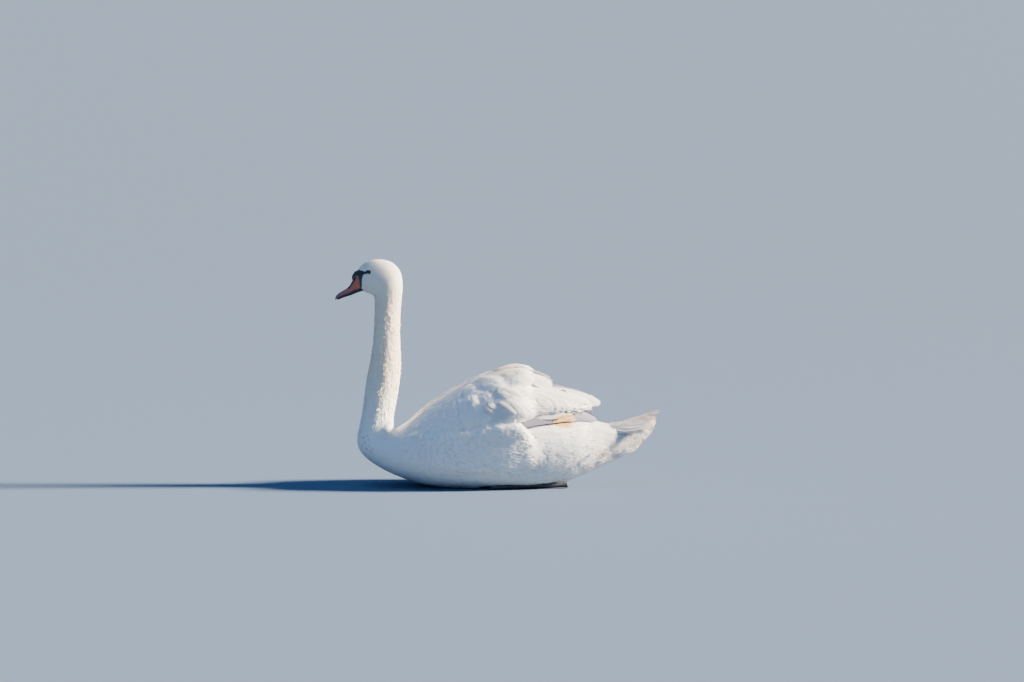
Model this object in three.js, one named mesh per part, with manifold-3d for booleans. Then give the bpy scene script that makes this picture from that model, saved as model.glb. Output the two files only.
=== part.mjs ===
// A mute swan at life size, afloat with its wings half raised and its neck upright, set on its belly.
// Millimetres, +Z up. The bill points to -X, the bird's left side is -Y, and the floor is z = 0.
import * as THREE from "three";
import { mergeVertices } from "three/addons/utils/BufferGeometryUtils.js";
import Module from "manifold-3d";

const wasm = await Module();
wasm.setup();

// ---------------------------------------------------------------- driving dimensions
const GAP = 0.3; // clearance between neighbouring pieces
const BODY_SIDES = 22; // facets round the body
const MIDDLE = 8; // the tables below are measured from a plane this far ahead of the middle of the length
const TAIL_REACH = 451; // from that plane to the tip of the tail
const FLOOR_SLAB = 60; // depth of the block that cuts the belly flat

// The whole body is one tube of sections, from the tail coverts along the trunk, up the neck and over the crown.
// Each section stands in the middle plane between a point on the back line and a point on the belly line.
const station = (name, back, belly, halfWidth, low = 0, fullness = 2) => ({
  name,
  row: [...back, ...belly, halfWidth, low, fullness],
});
const BODY = [
  station("end of the tail coverts", [403, 149], [402, 128], 12),
  station("tail coverts", [386, 158], [383, 103], 35, 2),
  station("under the tail", [350, 166], [342, 77], 56, 5),
  station("vent", [300, 171], [275, 46], 79, 9, 2.1),
  station("rump", [235, 188], [205, 16], 104, 10, 2.2),
  station("hips", [150, 208], [130, 0], 121, 11, 2.3),
  station("loins", [50, 224], [50, -7], 131, 12, 2.35),
  station("back", [-50, 228], [-50, -8], 133, 12, 2.35),
  station("shoulders", [-140, 217], [-135, -4], 126, 11, 2.3),
  station("mantle", [-205, 197], [-215, 11], 112, 9, 2.2),
  station("crop", [-247, 170], [-285, 37], 93, 6, 2.1),
  station("breast", [-265, 157.5], [-336, 66], 77, 2),
  station("foot of the notch", [-273, 154], [-366, 94], 66, 0),
  station("breast front", [-276.5, 158], [-375, 122], 58),
  station("breast top", [-277.5, 170], [-372.5, 150], 52),
  station("neck base", [-277, 190], [-364.5, 184], 46.5),
  station("neck at 220", [-271.5, 222], [-358.5, 220], 43.5),
  station("neck at 265", [-263.5, 265], [-353.5, 265], 43),
  station("neck at 305", [-258, 305], [-347.5, 305], 42),
  station("neck at 350", [-257, 350], [-338.5, 350], 39.5),
  station("neck at 395", [-258, 395], [-331.5, 395], 36),
  station("neck at 440", [-258.5, 440], [-328, 440], 33.5),
  station("neck at 485", [-257, 485], [-327, 484], 32.5),
  station("nape", [-253.5, 520], [-327, 508], 33),
  station("throat", [-251, 553], [-328, 519], 34),
  station("occiput", [-258, 591], [-330, 525], 35),
  station("back of the crown", [-282, 615.5], [-336, 527.5], 34.5),
  station("crown", [-313, 623], [-343, 530.5], 32),
  station("eyes", [-340, 619.5], [-350, 532.5], 28.5, 2),
  station("forehead", [-359, 610.5], [-356.5, 534.5], 23.5, 4),
  station("lores", [-368.5, 601], [-361.5, 537.5], 19.5, 5),
  station("face", [-374.5, 592.5], [-365.5, 541], 16.5, 6),
];
const at = (name) => BODY.findIndex((s) => s.name === name);

// Cuts between the body's pieces, as places along the tube.
const NECK_FOOT = at("neck base");
const NECK_LOW = at("neck at 305");
const NECK_HIGH = at("neck at 440");
const HEAD_START = at("nape") + 0.6;
const FACE = at("face");

// Wing pieces: sections across X between a top edge and a bottom edge, each [y, z].
const section = (x, top, bottom, out, inward = out) => [
  x,
  ...top,
  ...bottom,
  out,
  inward,
];
const FLANK = [
  section(-232, [88, 148], [96, 88], 3),
  section(-185, [106, 168], [116, 66], 11),
  section(-110, [121, 182], [129, 52], 14),
  section(-35, [126, 188], [133, 48], 14),
  section(35, [125, 192], [131, 50], 14),
  section(62, [124, 187], [129, 54], 12),
  section(84, [124, 168], [127, 58], 9),
  section(104, [122, 140], [124, 62], 6),
  section(122, [118, 112], [120, 72], 3),
];
const WING_ARM = [
  section(-240, [56, 168], [80, 130], 5),
  section(-205, [54, 201], [100, 128], 15),
  section(-150, [54, 241], [114, 134], 23, 20),
  section(-80, [56, 278], [123, 142], 29, 22),
  section(-10, [59, 298], [125, 150], 31, 24),
  section(45, [62, 300], [122, 166], 29, 24),
  section(85, [66, 289], [114, 184], 23, 20),
  section(115, [61, 272], [102, 204], 12, 14),
  section(140, [58, 256], [86, 222], 3, 5),
];
const SCAPULARS = [
  section(-200, [40, 206], [56, 192], 2, 4),
  section(-165, [36, 233], [68, 200], 6, 12),
  section(-120, [40, 262], [84, 214], 11, 18),
  section(-60, [44, 290], [93, 238], 15, 20),
  section(-5, [47, 310], [96, 254], 17, 20),
  section(45, [49, 325], [94, 266], 17, 19),
  section(80, [51, 326], [87, 278], 14, 16),
  section(101, [52, 319], [78, 290], 9, 10),
  section(112, [55, 309], [68, 299], 3, 3),
];
const COVERT_LOBE = [
  section(-60, [104, 246], [124, 200], 3, 10),
  section(-15, [100, 262], [127, 194], 13),
  section(35, [98, 266], [124, 196], 15),
  section(75, [97, 260], [117, 208], 13),
  section(98, [98, 246], [108, 224], 5),
];
const TERTIAL_BED = [
  section(20, [60, 282], [110, 196], 16, 18),
  section(90, [54, 280], [105, 200], 17, 18),
  section(150, [46, 270], [94, 206], 15, 16),
  section(205, [36, 257], [78, 212], 10, 12),
  section(258, [27, 240], [56, 218], 4, 5),
];

// Long feathers: [root, middle, tip, half width], each point [x, y, z] on the right side.
const LEAF_POWER = 0.85; // under 1 the sections of the wing are fuller than ellipses
const VANE_THICK = 2.4;
const VANE_STEPS = 5;

// Bare parts
const EYE_R = 6.6;
const EYE_X = -343.5;
const EYE_Z = 590.5;
const EYE_PROUD = 2.6; // how far the eyeball stands out of the head
const BILL_UPPER = [
  // culmen [x, z], cutting edge [x, z], half width, how low the widest line lies
  ["face", [-375, 592], [-364, 545], 16.5, 8],
  ["behind the nostril", [-386, 569], [-377, 540], 15.6, 8],
  ["nostril", [-397, 550], [-392, 532.5], 14.6, 5],
  ["narrows", [-408, 541], [-405, 527.5], 14.8, 3.6],
  ["broadens", [-420, 534], [-418, 522], 16, 2.6],
  ["nail", [-430, 525.5], [-429.5, 516.5], 14, 1.8],
  ["tip", [-435, 518], [-435, 512], 6.5, 0],
];
const BILL_LOWER = [
  ["gape", [-364.5, 544.2], [-362.5, 536], 14.5, 0],
  ["jaw", [-377, 539.2], [-376, 531.5], 13.6, 0],
  ["middle", [-392, 531.8], [-391.5, 525], 12.8, 0],
  ["front", [-408, 526.4], [-408, 520], 13, 0],
  ["broad end", [-421, 520.4], [-421, 515], 12.6, 0],
  ["lip", [-429, 516], [-429, 512.4], 7.5, 0],
];
const KNOB = { at: [-379.5, 0, 579], radii: [14.5, 8.6, 8], lean: 1.08 }; // along, across, deep; lean in radians
const ANKLE = [204, 66, 9];
const TOE_ROOT = [104, 74, 8];
const SHANK_R = 7.5;
const TOES = [
  // tip [x, y], radius at the root
  [[6, 50], 4.6],
  [[-24, 76], 5.2],
  [[-6, 104], 4.8],
];
const WEB_THICK = 3;

// ---------------------------------------------------------------- solids
function toSolid(geometry) {
  const g = geometry.clone();
  g.deleteAttribute("normal");
  g.deleteAttribute("uv");
  const merged = mergeVertices(g, 1e-3);
  return new wasm.Manifold(
    new wasm.Mesh({
      numProp: 3,
      vertProperties: new Float32Array(merged.attributes.position.array),
      triVerts: new Uint32Array(merged.index.array),
    }),
  );
}

function toGeometry(solid) {
  const m = solid.getMesh();
  const position = new Float32Array(m.numVert * 3);
  for (let i = 0; i < m.numVert; i++)
    position.set(
      m.vertProperties.subarray(i * m.numProp, i * m.numProp + 3),
      i * 3,
    );
  const g = new THREE.BufferGeometry();
  g.setAttribute("position", new THREE.BufferAttribute(position, 3));
  g.setIndex(new THREE.BufferAttribute(new Uint32Array(m.triVerts), 1));
  g.computeVertexNormals();
  return g;
}

const largest = (solid) =>
  solid.decompose().reduce((a, b) => (b.volume() > a.volume() ? b : a));
const union = (solids) => solids.reduce((a, b) => a.add(b));

// A tube through rings of points, closed at both ends.
function loft(rings) {
  const n = rings[0].length;
  const points = rings.flat();
  const ends = [rings[0], rings.at(-1)].map((ring) =>
    ring
      .reduce((sum, p) => sum.add(p), new THREE.Vector3())
      .divideScalar(n),
  );
  points.push(...ends);
  const [startEnd, lastEnd] = [points.length - 2, points.length - 1];
  const index = [];
  for (let i = 0; i < n; i++) {
    const j = (i + 1) % n;
    for (let r = 0; r < rings.length - 1; r++) {
      const [a, b, c, d] = [r * n + i, r * n + j, r * n + n + i, r * n + n + j];
      index.push(a, b, c, b, d, c);
    }
    const last = (rings.length - 1) * n;
    index.push(startEnd, j, i, lastEnd, last + i, last + j);
  }
  const g = new THREE.BufferGeometry();
  g.setAttribute(
    "position",
    new THREE.BufferAttribute(
      new Float32Array(points.flatMap((p) => p.toArray())),
      3,
    ),
  );
  g.setIndex(index);
  const solid = toSolid(g);
  if (solid.volume() > 0) return solid;
  for (let i = 0; i < index.length; i += 3)
    [index[i + 1], index[i + 2]] = [index[i + 2], index[i + 1]];
  g.setIndex(index);
  return toSolid(g);
}

const spread = (from, to, count) =>
  Array.from({ length: count }, (_, i) => from + ((to - from) * i) / (count - 1));

// Smooth row of numbers at place t, in steps of one row.
function between(rows, t) {
  const i = Math.max(0, Math.min(Math.floor(t), rows.length - 2));
  const f = t - i;
  const [a, b, c, d] = [i - 1, i, i + 1, i + 2].map(
    (k) => rows[Math.max(0, Math.min(k, rows.length - 1))],
  );
  return b.map(
    (_, k) =>
      0.5 *
      (2 * b[k] +
        (c[k] - a[k]) * f +
        (2 * a[k] - 5 * b[k] + 4 * c[k] - d[k]) * f * f +
        (3 * b[k] - a[k] - 3 * c[k] + d[k]) * f * f * f),
  );
}

// An oval section between a back point and a belly point of the middle plane.
function oval([bx, bz, vx, vz, halfWidth, low, fullness], sides, grow) {
  const half = Math.hypot(bx - vx, bz - vz) / 2;
  const [ux, uz] = [(bx - vx) / (2 * half), (bz - vz) / (2 * half)];
  const power = 2 / fullness;
  return Array.from({ length: sides }, (_, i) => {
    const a = (2 * Math.PI * i) / sides;
    const [c, s] = [Math.cos(a), Math.sin(a)];
    const up =
      (half + grow) * Math.sign(c) * Math.abs(c) ** power - low * s * s;
    const side = (halfWidth + grow) * Math.sign(s) * Math.abs(s) ** power;
    return new THREE.Vector3(
      (bx + vx) / 2 + ux * up,
      side,
      (bz + vz) / 2 + uz * up,
    );
  });
}

const bodyRows = BODY.map((s) => s.row);
const bodyPart = (places, grow = 0) =>
  loft(places.map((t) => oval(between(bodyRows, t), BODY_SIDES, grow)));

// A leaf-shaped section across X, from the top edge round the outer face to the bottom edge and back.
function leaf([x, ty, tz, by, bz, out, inward], sides, grow) {
  const half = Math.hypot(ty - by, tz - bz) / 2;
  const [uy, uz] = [(ty - by) / (2 * half), (tz - bz) / (2 * half)];
  return Array.from({ length: sides }, (_, i) => {
    const a = (2 * Math.PI * i) / sides;
    const [c, s] = [Math.cos(a), Math.sin(a)];
    const up = (half + grow) * Math.sign(c) * Math.abs(c) ** LEAF_POWER;
    const off = Math.sign(s) * Math.abs(s) ** LEAF_POWER * ((s > 0 ? out : inward) + grow);
    return new THREE.Vector3(
      x,
      (ty + by) / 2 + uy * up + uz * off,
      (tz + bz) / 2 + uz * up - uy * off,
    );
  });
}

const leafTube = (rows, count, sides, grow) =>
  loft(
    spread(0, rows.length - 1, count).map((t) =>
      leaf(between(rows, t), sides, grow),
    ),
  );

// One long feather: a thin blade along a bent quill, with a rounded tip, lying across the given face direction.
function blade({ root, middle, tip, half, face, thick = VANE_THICK }, grow = 0) {
  const [p0, p1, p2] = [root, middle, tip].map((p) => new THREE.Vector3(...p));
  const quill = new THREE.QuadraticBezierCurve3(
    p0,
    p1.clone().multiplyScalar(2).sub(p0.clone().add(p2).multiplyScalar(0.5)),
    p2,
  );
  const outward = new THREE.Vector3(...face).normalize();
  const rings = spread(0, 1, VANE_STEPS).map((f) => {
    const t = 1 - (1 - f) ** 1.5; // steps close up towards the tip
    const p = quill.getPoint(t);
    const along = quill.getTangent(t);
    const across = new THREE.Vector3().crossVectors(outward, along).normalize();
    const up = new THREE.Vector3().crossVectors(along, across);
    const w = half * (0.5 + 0.5 * Math.min(1, t * 2.2)) * Math.sqrt(1 - t ** 5 * 0.97) + grow;
    const h = (thick * (1 - 0.55 * t)) / 2 + grow;
    return [
      p.clone().addScaledVector(across, w),
      p.clone().addScaledVector(up, h),
      p.clone().addScaledVector(across, -w),
      p.clone().addScaledVector(up, -h),
    ];
  });
  return loft(rings);
}

// A round-sectioned limb through points, each [x, y, z, radius].
function limb(points, sides, flatness = 1) {
  const line = points.map((p) => new THREE.Vector3(p[0], p[1], p[2]));
  return loft(
    line.map((p, i) => {
      const along = line[Math.min(i + 1, line.length - 1)]
        .clone()
        .sub(line[Math.max(i - 1, 0)])
        .normalize();
      const side = new THREE.Vector3(0, 0, 1).cross(along).normalize();
      const up = new THREE.Vector3().crossVectors(along, side);
      return Array.from({ length: sides }, (_, k) => {
        const a = (2 * Math.PI * k) / sides;
        return p
          .clone()
          .addScaledVector(side, points[i][3] * Math.cos(a))
          .addScaledVector(up, points[i][3] * flatness * Math.sin(a));
      });
    }),
  );
}

const box = (size, centre) =>
  toSolid(new THREE.BoxGeometry(...size).translate(...centre));
const belowFloor = box([1200, 600, FLOOR_SLAB], [0, 0, -FLOOR_SLAB / 2]);

// ---------------------------------------------------------------- long feather groups, right side
const mix = (a, b, f) => a + (b - a) * f;

function tertials(grow) {
  const upper = spread(0, 1, 2).map((f) =>
    blade(
      {
        root: [mix(-10, -20, f), 60, mix(293, 280, f)],
        middle: [mix(92, 78, f), mix(50, 56, f), mix(303, 290, f)],
        tip: [mix(161, 146, f), mix(40, 50, f), mix(282, 269, f)],
        half: 17,
        face: [0, 0.8, 0.6],
      },
      grow,
    ),
  );
  const lower = spread(0, 1, 5).map((f) =>
    blade(
      {
        root: [mix(30, 0, f), mix(66, 98, f), mix(264, 220, f)],
        middle: [mix(165, 95, f), mix(52, 98, f), mix(257, 215, f)],
        tip: [mix(291, 190, f ** 1.1), mix(24, 80, f), mix(228, 205, f ** 0.7)],
        half: 22,
        face: [0, 0.88, 0.47],
      },
      grow,
    ),
  );
  return union([leafTube(TERTIAL_BED, 6, 10, grow), ...upper, ...lower]);
}

function primaries(grow) {
  return union(
    spread(0, 1, 4).map((f) =>
      blade(
        {
          root: [mix(50, 40, f), mix(112, 120, f), mix(182, 170, f)],
          middle: [mix(168, 132, f), mix(78, 98, f), mix(213, 197, f)],
          tip: [mix(284, 205, f), mix(18, 72, f), mix(180, 190, f)],
          half: 15,
          face: [0, 0.85, 0.5],
        },
        grow,
      ),
    ),
  );
}

const wingArm = (grow) =>
  union([
    leafTube(WING_ARM, 10, 12, grow),
    leafTube(SCAPULARS, 9, 9, grow),
    leafTube(COVERT_LOBE, 7, 10, grow),
  ]);

// The tail: a shallow roof of graduated feathers, longest in the middle.
function tailFan(grow) {
  return union(
    spread(-1, 1, 9).map((a) =>
      blade(
        {
          root: [286, 20 * a, 154 - 4 * a * a],
          middle: [366, 50 * a, 179 - 18 * a * a],
          tip: [TAIL_REACH - 24 * a * a, 68 * a, 204 - 46 * a * a],
          half: 17 - 4 * Math.abs(a),
          face: [-0.3, 0.7 * a, 1],
        },
        grow,
      ),
    ),
  );
}

// ---------------------------------------------------------------- bill, eyes and feet
const billRow = ([, culmen, edge, halfWidth, low]) => [
  ...culmen,
  ...edge,
  halfWidth,
  low,
  2.2,
];
const billTube = (stations, grow) =>
  loft(
    spread(0, stations.length - 1, 10).map((t) =>
      oval(between(stations.map(billRow), t), 12, grow),
    ),
  );

function knob(grow) {
  const g = new THREE.SphereGeometry(1, 10, 8);
  g.scale(...KNOB.radii.map((r) => r + grow));
  g.rotateY(-KNOB.lean);
  g.translate(...KNOB.at);
  return toSolid(g);
}

function headHalfWidth(x, z) {
  let best = 0;
  for (const t of spread(HEAD_START, FACE, 200))
    for (const p of oval(between(bodyRows, t), 180, 0))
      if (Math.hypot(p.x - x, p.z - z) < 1.5) best = Math.max(best, p.y);
  return best;
}

const eyeY = headHalfWidth(EYE_X, EYE_Z) - EYE_R + EYE_PROUD;
const eyeball = (grow) =>
  toSolid(
    new THREE.SphereGeometry(EYE_R + grow, 12, 8).translate(EYE_X, eyeY, EYE_Z),
  );

function shank() {
  const [a, t] = [ANKLE, TOE_ROOT];
  const points = spread(0, 1, 4).map((f) => [
    mix(a[0], t[0], f),
    mix(a[1], t[1], f),
    mix(a[2], t[2], f),
    SHANK_R * (1 + 0.28 * (2 * f - 1) ** 4),
  ]);
  points.unshift([a[0] + 7, a[1] - 0.5, a[2] + 0.5, 5]);
  return limb(points, 10).subtract(belowFloor);
}

function foot() {
  const [rx, ry, rz] = TOE_ROOT;
  const toes = TOES.map(([[x, y], r]) =>
    limb(
      [0, 0.32, 0.6, 0.86, 0.9, 1].map((f, i) => [
        mix(rx - 6, x, f),
        mix(ry, y, f ** 0.8),
        mix(rz - 2, 2.4, f),
        f < 0.88 ? r * (1 - 0.35 * f) * (i % 2 ? 1.12 : 0.95) : mix(2.6, 0.7, (f - 0.86) / 0.14),
      ]),
      6,
    ),
  );
  const web = new THREE.Shape();
  web.moveTo(rx - 8, ry - 6);
  const ends = TOES.map(([[x, y]]) => new THREE.Vector2(mix(rx, x, 0.86), mix(ry, y, 0.89)));
  web.lineTo(ends[0].x, ends[0].y);
  web.quadraticCurveTo(ends[1].x + 22, (ends[0].y + ends[1].y) / 2, ends[1].x, ends[1].y);
  web.quadraticCurveTo(ends[1].x + 24, (ends[2].y + ends[1].y) / 2, ends[2].x, ends[2].y);
  web.lineTo(rx - 8, ry + 6);
  web.closePath();
  const skin = toSolid(
    new THREE.ExtrudeGeometry(web, { depth: WEB_THICK, bevelEnabled: false, curveSegments: 4 }),
  );
  const pad = limb([[rx - 3, ry, rz - 1, 8], [rx - 12, ry, rz - 1.5, 8.5], [rx - 20, ry, rz - 3, 6]], 10);
  return union([...toes, skin, pad]).subtract(belowFloor);
}

// ---------------------------------------------------------------- assembly
const cut = GAP / 70; // half a gap as a step along the tube, where a step is about 35 mm
const places = {
  trunk: spread(0, NECK_FOOT - cut, 25),
  neck_lower: spread(NECK_FOOT + cut, NECK_LOW - cut, 4),
  neck_middle: spread(NECK_LOW + cut, NECK_HIGH - cut, 4),
  neck_upper: spread(NECK_HIGH + cut, HEAD_START - cut, 3),
  head: spread(HEAD_START + cut, FACE, 13),
};
const flank = (grow) => leafTube(FLANK, 10, 10, grow);

const shankGrown = limb(
  [
    [ANKLE[0] + 10, ANKLE[1], ANKLE[2] + 0.5, SHANK_R + 3.2],
    [TOE_ROOT[0] - 4, TOE_ROOT[1], TOE_ROOT[2], SHANK_R + 3.2],
  ],
  12,
);
const mirrorY = (solid) => solid.mirror([0, 1, 0]);
const asIs = (solid) => solid;
const SIDES = { right: asIs, left: mirrorY };
const less = (solid, ...cutters) => cutters.reduce((a, b) => a.subtract(b), solid);

const bothFlanks = (grow) => flank(grow).add(mirrorY(flank(grow)));
const trunk = less(
  bodyPart(places.trunk).add(bothFlanks(0)),
  belowFloor,
  shankGrown,
  mirrorY(shankGrown),
);
const trunkGrown = bodyPart([...places.trunk, ...places.neck_lower], 2 * GAP).add(
  bothFlanks(2 * GAP),
);
const headGrown = bodyPart(places.head, GAP);
const upperBill = billTube(BILL_UPPER, 0);
const upperBillGrown = billTube(BILL_UPPER, GAP);
const armGrown = wingArm(GAP);
const tertialsGrown = tertials(GAP);
const primariesGrown = primaries(GAP);
const bothPrimaries = primariesGrown.add(mirrorY(primariesGrown));

const FEATHER = { color: 0xf2f1ec, roughness: 0.78, metalness: 0 };
const material = {
  feather: new THREE.MeshStandardMaterial(FEATHER),
  neck: new THREE.MeshStandardMaterial({ ...FEATHER, color: 0xf3efe4 }),
  bill: new THREE.MeshStandardMaterial({ color: 0xc8603a, roughness: 0.42, metalness: 0 }),
  black: new THREE.MeshStandardMaterial({ color: 0x17161a, roughness: 0.5, metalness: 0 }),
  eye: new THREE.MeshStandardMaterial({ color: 0x1c120c, roughness: 0.06, metalness: 0 }),
  leg: new THREE.MeshStandardMaterial({ color: 0x24242a, roughness: 0.6, metalness: 0 }),
};

const swan = new THREE.Group();
function add(name, solid, look) {
  const centred = largest(solid).translate([-MIDDLE, 0, 0]);
  const mesh = new THREE.Mesh(toGeometry(centred), material[look]);
  mesh.name = name;
  swan.add(mesh);
}
// One piece on each side of the middle plane, each trimmed by what it lies against.
function addPair(name, look, solid, sidedCutters = [], cutters = []) {
  for (const [side, placed] of Object.entries(SIDES))
    add(`${name}_${side}`, less(placed(solid), ...sidedCutters.map(placed), ...cutters), look);
}

add("trunk", trunk, "feather");
for (const name of ["neck_lower", "neck_middle", "neck_upper"])
  add(name, bodyPart(places[name]), "neck");
add("head", less(bodyPart(places.head), eyeball(GAP), mirrorY(eyeball(GAP))), "neck");
addPair("eye", "eye", eyeball(0));
add("bill_upper", less(upperBill, headGrown), "bill");
add("bill_lower", less(billTube(BILL_LOWER, 0), upperBillGrown, headGrown), "black");
add("bill_knob", less(knob(0), headGrown, upperBillGrown), "black");
addPair("wing", "feather", wingArm(0), [], [trunkGrown]);
addPair("tertials", "feather", tertials(0), [armGrown], [trunkGrown]);
addPair("primaries", "feather", primaries(0), [armGrown, tertialsGrown], [trunkGrown]);
add("tail", less(tailFan(0), trunkGrown, bothPrimaries), "feather");
addPair("leg", "leg", shank());
addPair("foot", "leg", foot(), [shankGrown], [trunkGrown]);

export default swan;
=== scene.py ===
# A mute swan at life size: one skin, a coat of modelled feathers, bill, eyes and webbed feet.
# Tables are in millimetres, measured as in the part's source; finished pieces are in metres in the row frame.
import math
import bpy
import bmesh
import numpy as np
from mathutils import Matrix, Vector
from mathutils.bvhtree import BVHTree
from mathutils.kdtree import KDTree


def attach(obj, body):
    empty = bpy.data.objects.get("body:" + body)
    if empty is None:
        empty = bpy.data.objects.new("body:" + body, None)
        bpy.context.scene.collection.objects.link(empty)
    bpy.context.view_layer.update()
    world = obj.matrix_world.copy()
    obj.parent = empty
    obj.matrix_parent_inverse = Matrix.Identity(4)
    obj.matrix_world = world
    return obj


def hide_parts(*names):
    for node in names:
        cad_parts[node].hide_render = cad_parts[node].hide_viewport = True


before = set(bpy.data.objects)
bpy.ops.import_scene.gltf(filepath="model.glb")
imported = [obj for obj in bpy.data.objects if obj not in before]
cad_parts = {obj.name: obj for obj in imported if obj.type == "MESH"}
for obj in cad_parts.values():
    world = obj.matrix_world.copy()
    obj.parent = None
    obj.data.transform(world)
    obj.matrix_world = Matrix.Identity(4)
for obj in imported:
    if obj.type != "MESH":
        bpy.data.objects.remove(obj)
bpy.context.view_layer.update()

# ---------------------------------------------------------------- driving dimensions, mm
MIDDLE = 8.0  # the tables are measured from a plane this far ahead of the middle of the length
VOXEL = 2.9  # mesh size of the skin
FLANK_OUT, PRESSED = 141.0, 0.65  # ruffles are pressed back by this share of what swells out past it
ANKLE, TOE_ROOT = np.array([204, 66, 9.0]), np.array([104, 74, 8.0])
SHANK_R, WEB_TOP, WEB_UNDER = 7.5, 3.4, 1.6
TOE_ENDS = [(6, 50, 4.6), (-24, 76, 5.2), (-6, 104, 4.8)]  # x, y and radius
HIND_TOE, HIND_ROOT = (132, 52, 3.6), np.array([124, 68, 7.0])
FOOT_TOP = 6.5  # feathers over a foot stay above this, mm
FLOOR_CLEAR = 0.4  # no feather comes nearer to the floor than this
BARB = 13.0  # length of the loose barbs at a feather's rim
PATCH = 0.003  # size of a feather on the bake map
EYE_R, EYE_X, EYE_Z, EYE_PROUD = 6.6, -343.5, 590.5, 2.0
EYE_RING, EYE_CLEAR = 6.7, 6.8  # the bare ring round the eye, and how near to its middle feathers grow
FACE_X, FACE_Z = -318, 524  # before and above these the skin has finer points
WING_BACK = 130  # behind this x feathers may fold over the rear edges of the wing, and those are dropped
FLANK_FROM = 70  # what lies farther out than this is flank or wing
CREASE_DEEP, CREASE_WIDE = 6.0, 9  # the crease where the flank feathers lap over the wing
SOCKET_SINK, LID_R, LID_THICK = 2.2, 5.3, 0.9
BARE_DEPTH, THIN_SHARE = 0.15, 0.3  # depth of bare skin, and its greatest depth as a share of a form

# back [x, z], belly [x, z], half width, how low the widest line lies, fullness, feather length
BODY = np.array([
    [403, 149, 402, 128, 12, 0, 2, 44],  # end of the tail coverts
    [386, 158, 383, 103, 35, 2, 2, 46],  # tail coverts
    [350, 166, 342, 77, 56, 5, 2, 46],  # under the tail
    [300, 171, 275, 46, 79, 9, 2.1, 42],  # vent
    [235, 188, 205, 16, 104, 10, 2.2, 38],  # rump
    [150, 208, 130, 0, 121, 11, 2.3, 36],  # hips
    [50, 224, 50, -7, 131, 12, 2.35, 36],  # loins
    [-50, 228, -50, -8, 133, 12, 2.35, 34],  # back
    [-140, 217, -135, -4, 126, 11, 2.3, 31],  # shoulders
    [-205, 197, -215, 11, 112, 9, 2.2, 27],  # mantle
    [-247, 170, -285, 37, 93, 6, 2.1, 24],  # crop
    [-265, 157.5, -336, 66, 77, 2, 2, 22],  # breast
    [-273, 154, -366, 94, 66, 0, 2, 20],  # foot of the notch
    [-276.5, 158, -375, 122, 58, 0, 2, 18],  # breast front
    [-277.5, 170, -372.5, 150, 52, 0, 2, 17],  # breast top
    [-277, 190, -364.5, 184, 46.5, 0, 2, 15.5],  # neck base
    [-271.5, 222, -358.5, 220, 43.5, 0, 2, 14],
    [-263.5, 265, -353.5, 265, 43, 0, 2, 13],
    [-258, 305, -347.5, 305, 42, 0, 2, 12],
    [-257, 350, -338.5, 350, 39.5, 0, 2, 11],
    [-258, 395, -331.5, 395, 36, 0, 2, 10.5],
    [-258.5, 440, -328, 440, 33.5, 0, 2, 10],
    [-257, 485, -327, 484, 32.5, 0, 2, 9.5],
    [-253.5, 520, -327, 508, 33, 0, 2, 8.5],  # nape
    [-251, 553, -328, 519, 34, 0, 2, 7.8],  # throat
    [-258, 591, -330, 525, 35, 0, 2, 7],  # occiput
    [-282, 615.5, -336, 527.5, 34.5, 0, 2, 6.4],  # back of the crown
    [-313, 623, -343, 530.5, 32, 0, 2, 5.6],  # crown
    [-340, 619.5, -350, 532.5, 28.5, 2, 2, 4.8],  # eyes
    [-359, 610.5, -356.5, 534.5, 23.5, 4, 2, 4],  # forehead
    [-368.5, 601, -361.5, 537.5, 19.5, 5, 2, 3.4],  # lores
    [-374.5, 592.5, -365.5, 541, 16.5, 6, 2, 3],  # face
], float)
BREAST_FROM, NECK_FROM, NECK_HIGH, HEAD_FROM = 8.5, 14.4, 18.4, 23.0  # places in BODY where coat pieces meet

# Wing and flank forms: x, top [y, z], bottom [y, z], outer and inner half thickness, feather length
FLANK = np.array([
    [-232, 88, 148, 96, 88, 3, 3, 30],
    [-185, 106, 168, 116, 66, 11, 11, 34],
    [-110, 121, 182, 129, 52, 14, 14, 40],
    [-35, 126, 188, 133, 48, 14, 14, 46],
    [35, 125, 192, 131, 50, 14, 14, 50],
    [62, 124, 187, 129, 54, 12, 12, 50],
    [84, 124, 168, 127, 58, 9, 9, 46],
    [104, 122, 140, 124, 62, 6, 6, 42],
    [122, 118, 112, 120, 72, 3, 3, 40],
], float)
WING_ARM = np.array([
    [-240, 56, 168, 80, 130, 5, 5, 22],
    [-205, 54, 201, 100, 128, 15, 15, 24],
    [-150, 54, 241, 114, 134, 23, 20, 28],
    [-80, 56, 278, 123, 142, 29, 22, 34],
    [-10, 59, 298, 125, 150, 31, 24, 40],
    [45, 62, 300, 122, 166, 29, 24, 46],
    [85, 66, 289, 114, 184, 23, 20, 48],
    [115, 61, 272, 102, 204, 12, 14, 48],
    [140, 58, 256, 86, 222, 3, 5, 48],
], float)
SCAPULARS = np.array([
    [-200, 40, 206, 56, 192, 2, 4, 26],
    [-165, 36, 233, 68, 200, 6, 12, 32],
    [-120, 40, 262, 84, 214, 11, 18, 40],
    [-60, 44, 290, 93, 238, 15, 20, 50],
    [-5, 47, 310, 96, 254, 17, 20, 58],
    [45, 49, 325, 94, 266, 17, 19, 60],
    [80, 51, 326, 87, 278, 14, 16, 58],
    [101, 52, 319, 78, 290, 9, 10, 52],
    [112, 55, 309, 68, 299, 3, 3, 46],
], float)
COVERT_LOBE = np.array([
    [-60, 104, 246, 124, 200, 3, 10, 40],
    [-15, 100, 262, 127, 194, 13, 13, 44],
    [35, 98, 266, 124, 196, 15, 15, 48],
    [75, 97, 260, 117, 208, 13, 13, 48],
    [98, 98, 246, 108, 224, 5, 5, 44],
], float)
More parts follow.
